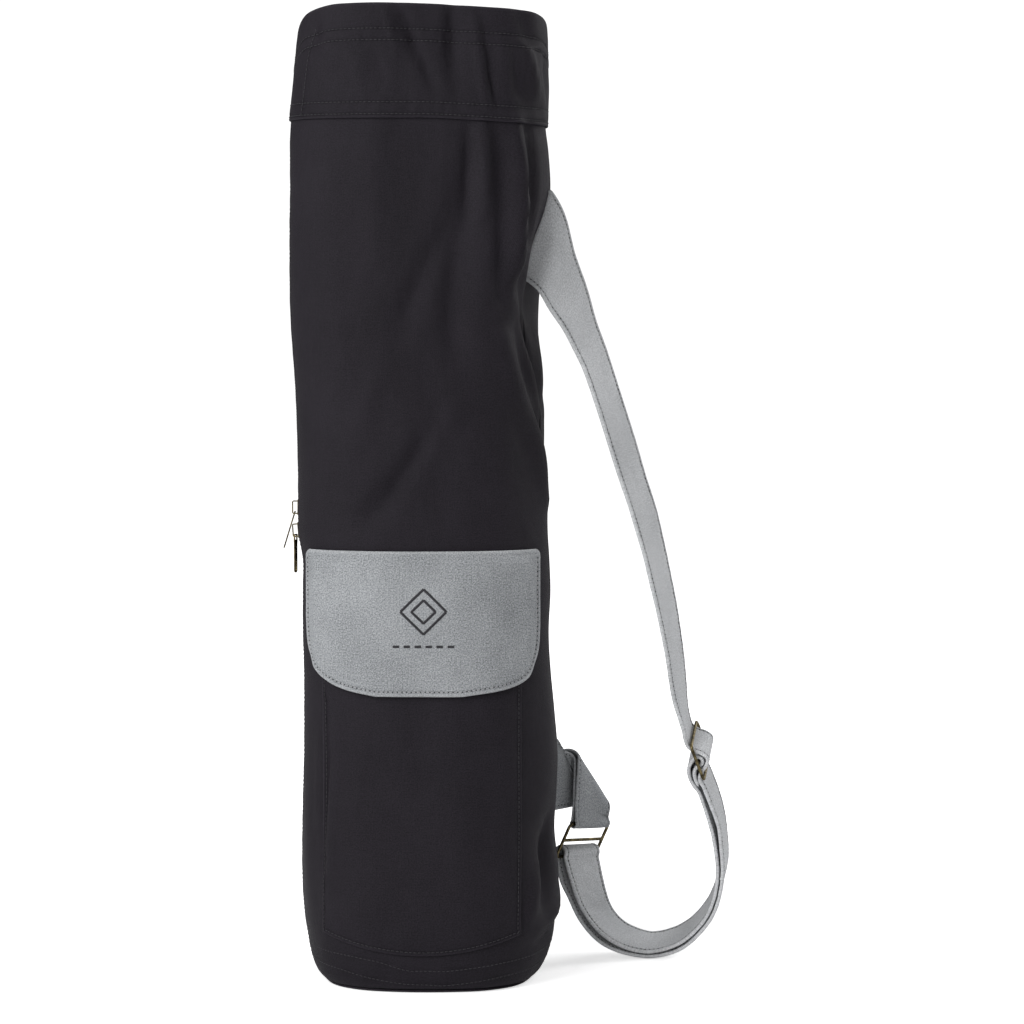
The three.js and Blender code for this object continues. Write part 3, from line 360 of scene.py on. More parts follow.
def make_weave():
    """Twill weave: its height, its slubs, a fine speckle, broad soft blotches and slight crumples."""
    tree = bpy.data.node_groups.new("twill_weave", "ShaderNodeTree")
    tree.interface.new_socket(name="Cloth", in_out="INPUT", socket_type="NodeSocketVector")
    for label, value in (("Yarn", 1400.0), ("Slub", 0.5)):
        tree.interface.new_socket(name=label, in_out="INPUT", socket_type="NodeSocketFloat").default_value = value
    for label in WEAVE_OUTPUTS:
        tree.interface.new_socket(name=label, in_out="OUTPUT", socket_type="NodeSocketFloat")
    given, result = tree.nodes.new("NodeGroupInput"), tree.nodes.new("NodeGroupOutput")
    w = Wiring(tree)
    cloth, yarn = given.outputs["Cloth"], given.outputs["Yarn"]
    split = tree.nodes.new("ShaderNodeSeparateXYZ")
    w.feed(split.inputs[0], cloth)
    wander = w.times(w.math("SUBTRACT", w.noise(cloth, 260.0, 2.0), 0.5), given.outputs["Slub"])
    u, v = w.times(split.outputs[0], yarn), w.times(split.outputs[1], yarn)
    slant = w.add(w.add(u, w.times(v, TWILL_SLANT)), w.times(wander, 3.0))
    ridge = w.math("SINE", w.times(slant, math.pi))
    warp, weft = [w.math("SINE", w.times(w.add(way, wander), 2 * math.pi)) for way in (u, v)]
    height = w.add(w.times(ridge, 0.14), w.times(w.times(warp, weft), 0.10))
    height = w.add(w.add(height, 0.5), w.times(w.noise(cloth, FINE, 3.0, 0.7), 0.7))
    slubs = [w.noise(w.stretch(cloth, scale), 1.0, 2.0) for scale in ((SOFT, FINE, 1.0), (FINE, SOFT, 1.0))]
    thread = w.times(w.add(*slubs), 0.5)
    speckle = w.span(w.noise(cloth, 1000.0, 4.0, 0.75), 0.36, 0.66)
    blotch = w.noise(cloth, 14.0, 3.0)
    crumple = w.noise(w.stretch(cloth, (48.0, 30.0, 1.0)), 1.0, 3.0, 0.5)
    for label, value in zip(WEAVE_OUTPUTS, (height, thread, speckle, blotch, crumple)):
        w.feed(result.inputs[label], value)
    return tree


TWILL_WEAVE = make_weave()
# how much each part of the weave counts between the dark and the light colour
WEAVE_SHARES = (("Height", 0.25), ("Speckle", 0.55), ("Thread", 0.4), ("Blotch", 0.4))
WEAVE_MIDDLE = 0.88
SEAM_SHADE_SHARE = 0.45  # colour of the painted shade in stitched grooves and seams, as a share of the dark colour
YARN_RELIEF, CRUMPLE_RELIEF = 0.00035, 0.006


def canvas(
        name, dark, light, worn, yarn, sheen, depth, contrast,
        crumple=0.1, gloss=0.22, rough_range=(0.82, 0.98)):
    """Twill cloth between a dark and a light colour, paler at rubbed edges, with painted shade darkening its stitched
    grooves and seams.
    """
    material, w, shader = new_material(name)
    measure = w.tree.nodes.new("ShaderNodeUVMap")
    measure.uv_map = "cloth"
    weave = w.tree.nodes.new("ShaderNodeGroup")
    weave.node_tree = TWILL_WEAVE
    w.finish(weave, {"Cloth": measure.outputs[0], "Yarn": yarn, "Slub": 0.5})
    share = None
    for label, weight in WEAVE_SHARES:
        part = w.times(weave.outputs[label], weight)
        share = part if share is None else w.add(share, part)
    colour = w.mix(w.span(share, WEAVE_MIDDLE - contrast, WEAVE_MIDDLE + contrast), dark, light)
    speckle = weave.outputs["Speckle"]
    colour = w.mix(w.times(w.mark("rubbed"), w.span(speckle, 0.0, 1.0, 0.35, 1.0)), colour, worn)
    # painted shade: the marked stitched grooves and seams are darkened below the dark colour
    colour = w.mix(w.mark("seam_shade"), colour, tuple(part * SEAM_SHADE_SHARE for part in dark[:3]) + (1.0,))
    waves = w.bump(weave.outputs["Crumple"], crumple, CRUMPLE_RELIEF)
    w.finish(shader, {
        "Base Color": colour, "Roughness": w.span(speckle, 0.0, 1.0, *rough_range),
        "Specular IOR Level": gloss, "Sheen Weight": sheen, "Sheen Roughness": 0.45,
        "Normal": w.bump(weave.outputs["Height"], depth, YARN_RELIEF, under=waves)})
    return material


BLACK_CANVAS = canvas(
    "black_canvas_cloth", dark=(0.0062, 0.0052, 0.0072, 1.0), light=(0.0262, 0.0222, 0.0295, 1.0),
    worn=(0.050, 0.044, 0.056, 1.0), yarn=2100.0, sheen=0.0, depth=0.9, contrast=0.34,
    crumple=0.22, gloss=0.13, rough_range=(0.48, 0.70))


WELD = 0.004


def fold_round(distance, wall, radius):
    """Half the cloth's thickness near a folded edge: nothing at the edge, full beyond the radius."""
    t = np.clip(distance / radius, 0.0, 1.0)
    return wall / 2 * np.sqrt(1 - (1 - t) ** 2)


def near(distance, place, width):
    return np.exp(-((distance - place) / width) ** 2)


def bag_piece(name, mesh, material, stands_for=None, body="bag"):
    """Puts a finished mesh in the scene, on its body and in the place of its CAD solid."""
    item = bpy.data.objects.new(name, mesh)
    bpy.context.collection.objects.link(item)
    mesh.materials.append(material)
    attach(item, body)
    if stands_for:
        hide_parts(stands_for)


class Cloth:
    """Collects grids and patches of points in mm, then welds them into one piece."""

    def __init__(self):
        self.points, self.faces, self.uvs, self.rubbed, self.seam_shade = [], [], [], [], []
        self.count = 0

    def add(self, points, faces, uv, rubbed=0.0, seam_shade=0.0):
        size = len(points)
        self.points.append(points)
        self.faces.extend((np.asarray(faces) + self.count).tolist())
        self.uvs.append(uv)
        self.rubbed.append(np.broadcast_to(rubbed, size))
        self.seam_shade.append(np.broadcast_to(seam_shade, size))
        self.count += size

    def grid(self, points, uv, rubbed=0.0, seam_shade=0.0, flip=False):
        rows, columns = points.shape[:2]
        at = np.arange(rows * columns).reshape(rows, columns)
        corners = (at[:-1, :-1], at[:-1, 1:], at[1:, 1:], at[1:, :-1])
        faces = np.stack([c.ravel() for c in corners], -1)
        if flip:
            faces = faces[:, ::-1]
        flat = lambda values: np.broadcast_to(values, (rows, columns)).ravel()
        self.add(points.reshape(-1, 3), faces, uv.reshape(-1, 2), flat(rubbed), flat(seam_shade))

    def piece(self, name, material, slot, stands_for, weld=WELD, hard=None):
        mesh = bpy.data.meshes.new(name)
        points = np.concatenate(self.points) / METRE
        mesh.from_pydata(points.tolist(), [], self.faces)
        layer = mesh.uv_layers.new(name="cloth")
        corner = np.empty(len(mesh.loops), dtype=np.int32)
        mesh.loops.foreach_get("vertex_index", corner)
        uv = np.concatenate(self.uvs)[corner] / METRE
        layer.data.foreach_set("uv", uv.astype(np.float32).ravel())
        for label, values in (("rubbed", self.rubbed), ("seam_shade", self.seam_shade)):
            attribute = mesh.attributes.new(label, "FLOAT", "POINT")
            attribute.data.foreach_set("value", np.concatenate(values).astype(np.float32))
        welded = bmesh.new()
        welded.from_mesh(mesh)
        bmesh.ops.remove_doubles(welded, verts=welded.verts, dist=weld / METRE)
        bmesh.ops.dissolve_degenerate(welded, edges=welded.edges, dist=WELD / 8 / METRE)
        bmesh.ops.recalc_face_normals(welded, faces=welded.faces)
        welded.to_mesh(mesh)
        welded.free()
        mesh.shade_smooth()
        if hard is not None:
            mesh.set_sharp_from_angle(angle=math.radians(hard))
        bag_piece(name, mesh, material, stands_for)


# ---------------------------------------------------------------------------
# Base: a round-cornered panel of the same canvas, sewn into the bottom of the tube. It carries the bag.
# ---------------------------------------------------------------------------
BASE_THICKNESS = 2.2
BASE_ROUND = 2.2


def base_cloth():
    cloth = Cloth()
    bearing = np.linspace(0.0, 360.0, 145)
    shares = np.array([0.02, 0.2, 0.4, 0.6, 0.75, 0.86, 0.93, 0.965, 0.985, 0.995, 1.0])[:, None]
    rim = bag_point(bearing[None, :], np.full((1, 1), 1.0), -0.4)
    reach = np.linalg.norm(rim[..., :2], axis=-1)
    spots = rim * shares[..., None]
    distance = reach * (1 - shares)
    half = fold_round(distance, BASE_THICKNESS, BASE_ROUND)
    for side in (-1, 1):
        points = spots.copy()
        points[..., 2] = BASE_THICKNESS / 2 + side * half
        cloth.grid(points, points[..., :2], rubbed=0.35 * near(distance, 0.0, 2.0), flip=side < 0)
    cloth.piece("base_cloth", BLACK_CANVAS, "black_canvas", "base_panel")


base_cloth()

# ---------------------------------------------------------------------------
# Front and back: two cloths that meet at the strap seam and at the zip. The edges at the zip are folded
# under and topstitched, and a pair of stitched rows holds the base.
# ---------------------------------------------------------------------------
PANEL_LOW = BASE_THICKNESS + PIECE_GAP
PANEL_HIGH = 0.9 * BAG_HEIGHT
ZIP_LOW = 0.138 * BAG_HEIGHT
ZIP_HIGH = 0.874 * BAG_HEIGHT
ZIP_OPENING = 9.0
ZIP_CLOSING = 8.0
ZIP_BEARING = 180.0
ZIP_HEM = 5.6
HEM_RAISE = 0.45
STITCH_GROOVE = 0.4
GROOVE_WIDTH = 0.9
PANEL_ARC = 262.0  # length of cloth from the zip to the strap seam, near enough for its spacing

STRAP_SEAM = np.array([
    (0.0, 16.0), (0.16, 18.0), (0.25, 17.0), (0.45, 6.0), (0.62, -6.0),
    (0.717, -10.4), (0.809, -1.5), (0.88, 0.0), (1.0, 0.0),
])

# two rows of stitches round the base: bearing, upper row, lower row, in mm above the ground
BASE_ROWS = np.array([
    (-90.0, 16.0, 6.0), (-79.0, 16.0, 5.5), (-40.0, 22.0, 12.0), (0.0, 25.0, 15.0), (60.0, 20.0, 10.0),
    (120.0, 20.0, 10.0), (180.0, 26.0, 16.0), (220.0, 26.0, 15.5), (243.5, 22.5, 9.5),
    (259.0, 16.5, 6.5), (270.0, 16.0, 6.0),
])


def ease(t):
    held = np.clip(t, 0.0, 1.0)
    return held * held * (3 - 2 * held)


def seam_bearing(z):
    return along(STRAP_SEAM, 1, z / BAG_HEIGHT)


def zip_half_bearing(z):
    closed = ease((ZIP_LOW - z) / ZIP_CLOSING)
    half = (ZIP_OPENING * (1 - closed) + PIECE_GAP * closed) / 2
    reach = along(BAG_SECTIONS, 2, z / BAG_HEIGHT) * BAG_WIDTH / 2
    return np.degrees(half / reach)


def seam_half_bearing(z):
    there = bag_surface(seam_bearing(z), z)
    return np.degrees(PIECE_GAP / 2 / np.hypot(there[..., 0], there[..., 1]))


def with_edges(length, step, close=(0.0, 0.3, 0.7, 1.3, 2.2), extra=()):
    """Places from 0 to 1 along a length in mm: even steps, closer near both ends and at extra places."""
    inside = np.linspace(0.0, length, max(int(length / step), 2) + 1)
    ends = np.concatenate([close, length - np.array(close), extra, length - np.array(extra)])
    places = np.unique(np.round(np.concatenate([inside, ends]), 3))
    keep = [places[0]]
    fixed = set(np.round(ends, 3))
    for place in places[1:]:
        if place in fixed or min(abs(place - f) for f in fixed) > 0.5:
            keep.append(place)
    return np.array(keep) / length


def panel_cloth(name, start, end, zip_first, stands_for):
    cloth = Cloth()
    zip_marks = (3.6, 4.8, ZIP_HEM - 0.5, ZIP_HEM, ZIP_HEM + 0.5, ZIP_HEM + 1.4, ZIP_HEM + 2.6)
    across = with_edges(PANEL_ARC, 3.4, extra=zip_marks)
    height = PANEL_HIGH - PANEL_LOW
    up = with_edges(height, 3.6)
    z = (PANEL_LOW + up * height)[:, None]
    share = across[None, :]
    bearing = start(z) + (end(z) - start(z)) * share
    from_zip = share * PANEL_ARC if zip_first else (1 - share) * PANEL_ARC
    from_seam = PANEL_ARC - from_zip
    from_low = z - PANEL_LOW
    distance = np.minimum(np.minimum(np.minimum(from_zip, from_seam), from_low), PANEL_HIGH - z)
    half = fold_round(distance, WALL, 1.3)
    pucker = 0.16 * np.sin(z / 2.9 + 1.3 * np.sin(z / 17.0)) * near(from_zip, ZIP_HEM, 4.0)
    hem = HEM_RAISE * (1 - ease((from_zip - ZIP_HEM + 0.6) / 2.4)) * ease(from_zip / 1.5)
    groove = STITCH_GROOVE * near(from_zip, ZIP_HEM, GROOVE_WIDTH)
    base_groove = sum(near(z, row, 1.1) for row in base_rows(bearing))
    lift = hem - groove + pucker - 0.35 * base_groove
    measure = np.stack([share * PANEL_ARC + 0 * z, z + 0 * share], -1)
    rubbed = 0.4 * near(from_zip, 0.0, 1.2) + 0.25 * near(from_low, 0.0, 3.0)
    # painted shade along the zip hem's stitches, the base rows and the strap seam
    seam_shade = 0.35 * near(from_zip, ZIP_HEM + 0.9, 0.9) + 0.22 * base_groove + 0.5 * near(from_seam, 0.0, 0.9)
    outer = bag_point(bearing, z, lift - WALL / 2 + half)
    inner = bag_point(bearing, z, -WALL / 2 - half)
    cloth.grid(outer, measure, rubbed + 0 * share, np.clip(seam_shade, 0, 0.6))
    cloth.grid(inner, measure, flip=True)
    cloth.piece(name, BLACK_CANVAS, "black_canvas", stands_for)


def base_rows(bearing):
    turned = (np.asarray(bearing, float) + 90.0) % 360.0 - 90.0
    return along(BASE_ROWS, 1, turned), along(BASE_ROWS, 2, turned)


panel_cloth(
    "front_cloth", lambda z: ZIP_BEARING + zip_half_bearing(z),
    lambda z: 360.0 + seam_bearing(z) - seam_half_bearing(z), True, "front_panel")
panel_cloth(
    "back_cloth", lambda z: seam_bearing(z) + seam_half_bearing(z),
    lambda z: ZIP_BEARING - zip_half_bearing(z), False, "back_panel")


# Stitches: short lengths of thread that arch out of the cloth and dip back in
THREAD_SIDES = 5
# place along the stitch as a share of its length, thickness and lift as shares of its radius
THREAD_RINGS = (
    (-0.5, 0.3, -0.9), (-0.38, 0.85, -0.15), (0.0, 1.0, 0.35), (0.38, 0.85, -0.15), (0.5, 0.3, -0.9))


def stitch_shapes(centres, ways, outs, length, radius):
    """One arched thread at each centre, laid along its way."""
    sides = np.cross(outs, ways)
    template = []
    for place, size, lift in THREAD_RINGS:
        for k in range(THREAD_SIDES):
            turn = 2 * math.pi * k / THREAD_SIDES
            template.append((
                place * length, radius * size * math.cos(turn), radius * (size * math.sin(turn) + lift)))
    template = np.array(template)
    points = centres[:, None, :] + template[None, :, 0:1] * ways[:, None, :]
    points = points + template[None, :, 1:2] * sides[:, None, :] + template[None, :, 2:3] * outs[:, None, :]
    one = []
    rings = len(THREAD_RINGS)
    for r in range(rings - 1):
        for k in range(THREAD_SIDES):
            a, b = r * THREAD_SIDES + k, r * THREAD_SIDES + (k + 1) % THREAD_SIDES
            one.append((a, b, b + THREAD_SIDES, a + THREAD_SIDES))
    size = rings * THREAD_SIDES
    caps = [tuple(range(THREAD_SIDES))[::-1], tuple(range(size - THREAD_SIDES, size))]
    faces = []
    for i in range(len(centres)):
        faces.extend([tuple(k + i * size for k in face) for face in one + caps])
    return points.reshape(-1, 3), faces


def run_length(path):
    """Length along a path up to each of its points."""
    return np.concatenate([[0.0], np.cumsum(np.linalg.norm(np.diff(path, axis=0), axis=1))])


class Thread:
    """Stitches of one colour, gathered into one piece."""

    def __init__(self):
        self.points, self.faces, self.count = [], [], 0

    def shapes(self, centres, ways, outs, length, radius):
        points, faces = stitch_shapes(centres, ways, outs, length, radius)
        self.points.append(points)
        self.faces.extend([tuple(k + self.count for k in face) for face in faces])
        self.count += len(points)

    def row(self, path, outs, pitch=3.1, length=2.4, radius=0.3, lift=0.12, shift=0.0):
        """Stitches at an even pitch along a path of points in mm."""
        reach = run_length(path)
        places = np.arange(pitch / 2 + shift, reach[-1] - pitch / 3, pitch)
        read = lambda values, at: np.stack([np.interp(at, reach, values[:, k]) for k in range(3)], -1)
        centres = read(path, places)
        ways = read(path, np.minimum(places + 0.8, reach[-1])) - read(path, np.maximum(places - 0.8, 0.0))
        ways /= np.linalg.norm(ways, axis=1, keepdims=True)
        out = read(outs, places)
        out -= ways * np.sum(out * ways, axis=1, keepdims=True)
        out /= np.linalg.norm(out, axis=1, keepdims=True)
        self.shapes(centres + out * lift, ways, out, length, radius)

    def piece(self, name, material, slot):
        mesh = bpy.data.meshes.new(name)
        mesh.from_pydata((np.concatenate(self.points) / METRE).tolist(), [], self.faces)
        mesh.shade_smooth()
        bag_piece(name, mesh, material)


def thread_finish(name, dark, light):
    """Twisted sewing thread: fine slanting plies and a slight gloss."""
    material, w, shader = new_material(name)
    ply = w.noise(w.stretch(w.place(), (2600.0, 2600.0, 900.0)), 1.0, 2.0)
    w.finish(shader, {
        "Base Color": w.mix(w.span(ply, 0.35, 0.65), dark, light),
        "Roughness": w.span(ply, 0.3, 0.7, 0.55, 0.8), "Normal": w.bump(ply, 0.5, 0.0001)})
    return material


BLACK_THREAD = thread_finish("black_thread", (0.012, 0.011, 0.014, 1.0), (0.048, 0.046, 0.053, 1.0))


def cloth_path(bearing, z, off):
    bearing, z = np.broadcast_arrays(np.asarray(bearing, float), np.asarray(z, float))
    return bag_point(bearing, z, np.broadcast_to(off, bearing.shape)), outward(bearing, z)


body_stitches = Thread()
full_turn = np.linspace(0.0, 360.0, 241)
for row_height in base_rows(full_turn):
    body_stitches.row(*cloth_path(full_turn, row_height, -0.30))
hem_heights = np.linspace(PANEL_LOW + 4, 0.884 * BAG_HEIGHT, 200)
hem_turn = np.degrees(ZIP_HEM / (along(BAG_SECTIONS, 2, hem_heights / BAG_HEIGHT) * BAG_WIDTH / 2))
for hem_side in (-1, 1):
    hem_bearing = ZIP_BEARING + hem_side * (zip_half_bearing(hem_heights) + hem_turn)
    body_stitches.row(*cloth_path(hem_bearing, hem_heights, 0.05))
body_stitches.piece("body_stitches", BLACK_THREAD, "black_canvas")

# ---------------------------------------------------------------------------
# Collar: a doubled band of the black canvas over the top of the tube. Two rows of stitches hold it at
# its hem, and two more below the rim make the channel round the mouth.
# ---------------------------------------------------------------------------
COLLAR_LOW = 0.879 * BAG_HEIGHT
COLLAR_THICKNESS = 1.5
HEM_DROP_RIGHT = 4.0
COLLAR_HEM_ROWS = (2.8, 11.0)
COLLAR_RIM_ROWS = (17.7, 25.6)
COLLAR_OFF = LAID_GAP / 2 + COLLAR_THICKNESS / 2

# turn away from the strap side in degrees, drop of the rim as a share of the height
RIM_DROPS = np.array([
    (0.0, 0.029), (10.0, 0.019), (22.0, 0.0125), (45.0, 0.0095), (90.0, 0.0065),
    (145.0, 0.006), (160.0, 0.0115), (167.0, 0.019), (174.0, 0.029), (180.0, 0.035),
])


def rim_height(bearing):
    return BAG_HEIGHT * (1 - along(RIM_DROPS, 1, np.abs(turn_from(bearing, 0.0))))


def collar_hem(bearing):
    return COLLAR_LOW - HEM_DROP_RIGHT * np.maximum(0.0, np.cos(np.radians(bearing))) ** 2


def collar_cloth():
    cloth = Cloth()
    bearing = np.linspace(0.0, 360.0, 193)[None, :]
    span = 78.0
    marks = [m + s for m in COLLAR_HEM_ROWS for s in (-1.3, -0.5, 0.0, 0.5, 1.3)]
    marks_high = [span - m - s for m in COLLAR_RIM_ROWS for s in (-1.3, -0.5, 0.0, 0.5, 1.3)]
    places = np.unique(np.round(np.concatenate([
        np.linspace(0.0, span, 27), [0.3, 0.7, 1.3, 2.2, span - 0.3, span - 0.7, span - 1.3, span - 2.2],
        marks, marks_high]), 2))
    share = (places / span)[:, None]
    low, high = collar_hem(bearing), rim_height(bearing)
    z = low + (high - low) * share
    from_low, from_high = z - low, high - z
    distance = np.minimum(from_low, from_high)
    half = fold_round(distance, COLLAR_THICKNESS, 1.2)
    rows = sum(near(from_low, m, 0.8) for m in COLLAR_HEM_ROWS)
    rows = rows + sum(near(from_high, m, 0.8) for m in COLLAR_RIM_ROWS)
    pucker = 0.22 * np.sin(bearing * 0.62 + 2.0 * np.sin(bearing * 0.11)) * (
        near(from_low, 8.5, 6.0) + near(from_high, 23.0, 7.0))
    soft = 0.35 * near(from_high, 9.0, 7.0) + 0.25 * near(from_high, 23.0, 3.6)
    lift = soft + pucker - 0.36 * rows
    measure = np.stack([bearing * 1.45 + 0 * z, z + 0 * bearing], -1)
    rubbed = 0.55 * near(from_high, 0.0, 1.3) + 0.4 * near(from_low, 0.0, 1.0)
    # painted shade in the collar's stitched grooves
    cloth.grid(bag_point(bearing, z, COLLAR_OFF + half + lift), measure, rubbed, np.clip(0.28 * rows, 0, 0.5))
    cloth.grid(bag_point(bearing, z, COLLAR_OFF - half + 0.15 * rows), measure, flip=True)
    cloth.piece("collar_cloth", BLACK_CANVAS, "black_canvas", "collar")


collar_cloth()
collar_stitches = Thread()
for row_up in COLLAR_HEM_ROWS:
    collar_stitches.row(*cloth_path(full_turn, collar_hem(full_turn) + row_up, COLLAR_OFF + COLLAR_THICKNESS / 2 - 0.2))
for row_down in COLLAR_RIM_ROWS:
    collar_stitches.row(*cloth_path(full_turn, rim_height(full_turn) - row_down, COLLAR_OFF + COLLAR_THICKNESS / 2))
side_heights = np.linspace(COLLAR_LOW + 2, 0.972 * BAG_HEIGHT, 30)
for side_bearing in (ZIP_BEARING + 21.5, ZIP_BEARING - 21.5):
    collar_stitches.row(*cloth_path(side_bearing, side_heights, COLLAR_OFF + COLLAR_THICKNESS / 2 + 0.1))
collar_stitches.piece("collar_stitches", BLACK_THREAD, "black_canvas")

# ---------------------------------------------------------------------------
# Pocket: a flat patch of black canvas on the front. Its sides and its curved lower edge are turned
# under and sewn to the front cloth, and its mouth opens under the flap.
# ---------------------------------------------------------------------------
PATCH_THICKNESS = 1.4
POCKET_LEFT = -0.39 * BAG_WIDTH
POCKET_RIGHT = 0.378 * BAG_WIDTH
POCKET_LOW = 0.039 * BAG_HEIGHT
POCKET_HIGH = 0.428 * BAG_HEIGHT
POCKET_CORNER_RISE = 0.019 * BAG_HEIGHT
POCKET_STITCH = 2.6
FRONT = 270.0


def arc_table(z):
    """Bearings over the front at one height, and the length of cloth from the middle to each."""
    bearing = np.linspace(165.0, 375.0, 421)
    points = bag_surface(bearing, np.full(bearing.shape, z))
    reach = run_length(points)
    middle = np.interp(0.0, points[:, 0], reach)
    return bearing, points[:, 0], reach - middle


ARC_LOW, ARC_STEP = 10.0, 3.0
ARCS = [arc_table(ARC_LOW + ARC_STEP * k) for k in range(106)]


def front_arc(x, z):
    """Length of cloth from the middle of the front to the place where the cloth reaches x."""
    row = np.clip(((np.asarray(z) - ARC_LOW) / ARC_STEP).round().astype(int), 0, len(ARCS) - 1)
    return np.array([np.interp(a, ARCS[k][1], ARCS[k][2]) for a, k in zip(np.ravel(x), np.ravel(row))])


def front_bearing(arc, z):
    at = np.clip((z - ARC_LOW) / ARC_STEP, 0, len(ARCS) - 1.001)
    low = at.astype(int)
    result = np.empty(len(arc))
    for k in np.unique(low):
        here = low == k
        first = np.interp(arc[here], ARCS[k][2], ARCS[k][0])
        second = np.interp(arc[here], ARCS[k + 1][2], ARCS[k + 1][0])
        result[here] = first + (second - first) * (at[here] - k)
    return result


def even_outline(corners, step):
    """Closed outline at even steps between its corner points."""
    corners = np.asarray(corners, float)
    loop = np.vstack([corners, corners[:1]])
    reach = run_length(loop)
    places = np.linspace(0.0, reach[-1], int(reach[-1] / step) + 1)[:-1]
    return np.stack([np.interp(places, reach, loop[:, k]) for k in range(2)], -1)


def inset(outline, distance):
    """The outline moved inwards by a distance; it runs anticlockwise."""
    before, after = np.roll(outline, 1, axis=0), np.roll(outline, -1, axis=0)
    way = after - before
    way /= np.linalg.norm(way, axis=1, keepdims=True)
    normal = np.stack([-way[:, 1], way[:, 0]], -1)
    return outline + normal * distance


def patch_sheet(outline, rings, step):
    """Flat triangles inside an outline: rings of points along its edge, then an even grid."""
    points, distance, edges = [], [], []
    for gap in rings:
        ring = inset(outline, gap)
        start = len(points)
        points.extend(ring.tolist())
        distance.extend([gap] * len(ring))
        edges.extend([(start + k, start + (k + 1) % len(ring)) for k in range(len(ring))])
    last = inset(outline, rings[-1] + step * 0.55)
    low, high = last.min(axis=0), last.max(axis=0)
    for j, y in enumerate(np.arange(low[1], high[1], step * 0.87)):
        for x in np.arange(low[0] + (j % 2) * step / 2, high[0], step):
            inside = False
            for k in range(len(last)):
                (x0, y0), (x1, y1) = last[k - 1], last[k]
                if (y0 > y) != (y1 > y) and x < (x1 - x0) * (y - y0) / (y1 - y0) + x0:
                    inside = not inside
            if inside:
                points.append((x, y))
                distance.append(rings[-1] + step)
    result = delaunay_2d_cdt([Vector(p) for p in points], edges, [], 1, 1e-5)
    flat = np.array([tuple(v) for v in result[0]])
    origins = result[3]
    gaps = np.array([distance[ids[0]] if ids else rings[-1] for ids in origins])
    return flat, [tuple(face) for face in result[2]], gaps


def patch_cloth(cloth, outline, rings, step, wall, edge, stand, lift, marks):
    """Both faces of a patch that lies on the front: stand is its inner face's height off the bag."""
    flat, faces, gaps = patch_sheet(outline, rings, step)
    arc, z = flat[:, 0], flat[:, 1]
    bearing = front_bearing(arc, z)
    half = fold_round(gaps, wall, edge)
    middle = stand(arc, z) + wall / 2
    rubbed, seam_shade = marks(arc, z, gaps)
    outer = bag_point(bearing, z, middle + half + lift(arc, z, gaps))
    inner = bag_point(bearing, z, middle - half)
    cloth.add(outer, faces_grid(faces), flat, rubbed, seam_shade)
    cloth.add(inner, faces_grid([face[::-1] for face in faces]), flat)


def faces_grid(faces):
    return np.array(faces)


def pocket_outline():
    across = np.linspace(-1.0, 1.0, 40)
    middle, half = (POCKET_LEFT + POCKET_RIGHT) / 2, (POCKET_RIGHT - POCKET_LEFT) / 2
    bottom_z = POCKET_LOW + POCKET_CORNER_RISE * across ** 2
    bottom = np.stack([front_arc(middle + across * half, bottom_z), bottom_z], -1)
    rise = np.linspace(bottom_z[-1], POCKET_HIGH, 60)[1:]
    right = np.stack([front_arc(np.full(len(rise), POCKET_RIGHT), rise), rise], -1)
    left = np.stack([front_arc(np.full(len(rise), POCKET_LEFT), rise), rise], -1)[::-1]
    return even_outline(np.vstack([bottom, right, left]), 2.6)


def pocket_cloth():
    cloth = Cloth()
    outline = pocket_outline()

    def lift(arc, z, gaps):
        swell = 0.7 * ease((gaps - 3) / 5) * np.exp(-((z - 120) / 90) ** 2)
        pucker = 0.16 * np.sin(z / 2.6 + arc / 3.1) * near(gaps, POCKET_STITCH, 2.5)
        return swell + pucker - 0.35 * near(gaps, POCKET_STITCH, 0.7)

    def marks(arc, z, gaps):
        # wear at the rubbed edge, and painted shade in the stitched groove
        return 0.5 * near(gaps, 0.0, 0.8), 0.25 * near(gaps, POCKET_STITCH, 0.8)

    rings = (0.0, 0.25, 0.6, 1.2, 2.0, POCKET_STITCH, 3.2, 4.4)
    stand = lambda arc, z: 0 * arc + LAID_GAP - 0.4
    patch_cloth(cloth, outline, rings, 4.0, PATCH_THICKNESS, 1.1, stand, lift, marks)
    cloth.piece("pocket_cloth", BLACK_CANVAS, "black_canvas", "pocket")
    stitches = Thread()
    line = inset(outline, POCKET_STITCH)
    line = np.vstack([line, line[:1]])
    keep = line[:, 1] < POCKET_HIGH - 4
    start = int(np.argmin(keep))
    line = np.roll(line[:-1], -start, axis=0)
    line = line[line[:, 1] < POCKET_HIGH - 4]
    bearing = front_bearing(line[:, 0], line[:, 1])
    path, outs = cloth_path(bearing, line[:, 1], LAID_GAP + PATCH_THICKNESS - 0.55)
    stitches.row(path, outs)
    stitches.piece("pocket_stitches", BLACK_THREAD, "black_canvas")


pocket_cloth()

# ---------------------------------------------------------------------------
# Flap: stout grey canvas, doubled and topstitched near its edge, sewn to the bag along its top.
# Its lower corners are round. A small stitched pattern in black thread sits at its middle.
# ---------------------------------------------------------------------------
GREY_CANVAS = canvas(
    "grey_canvas_cloth", dark=(0.125, 0.135, 0.142, 1.0), light=(0.530, 0.545, 0.565, 1.0),
    worn=(0.660, 0.668, 0.685, 1.0), yarn=1900.0, sheen=0.03, depth=1.0, contrast=0.32,
    crumple=0.18)
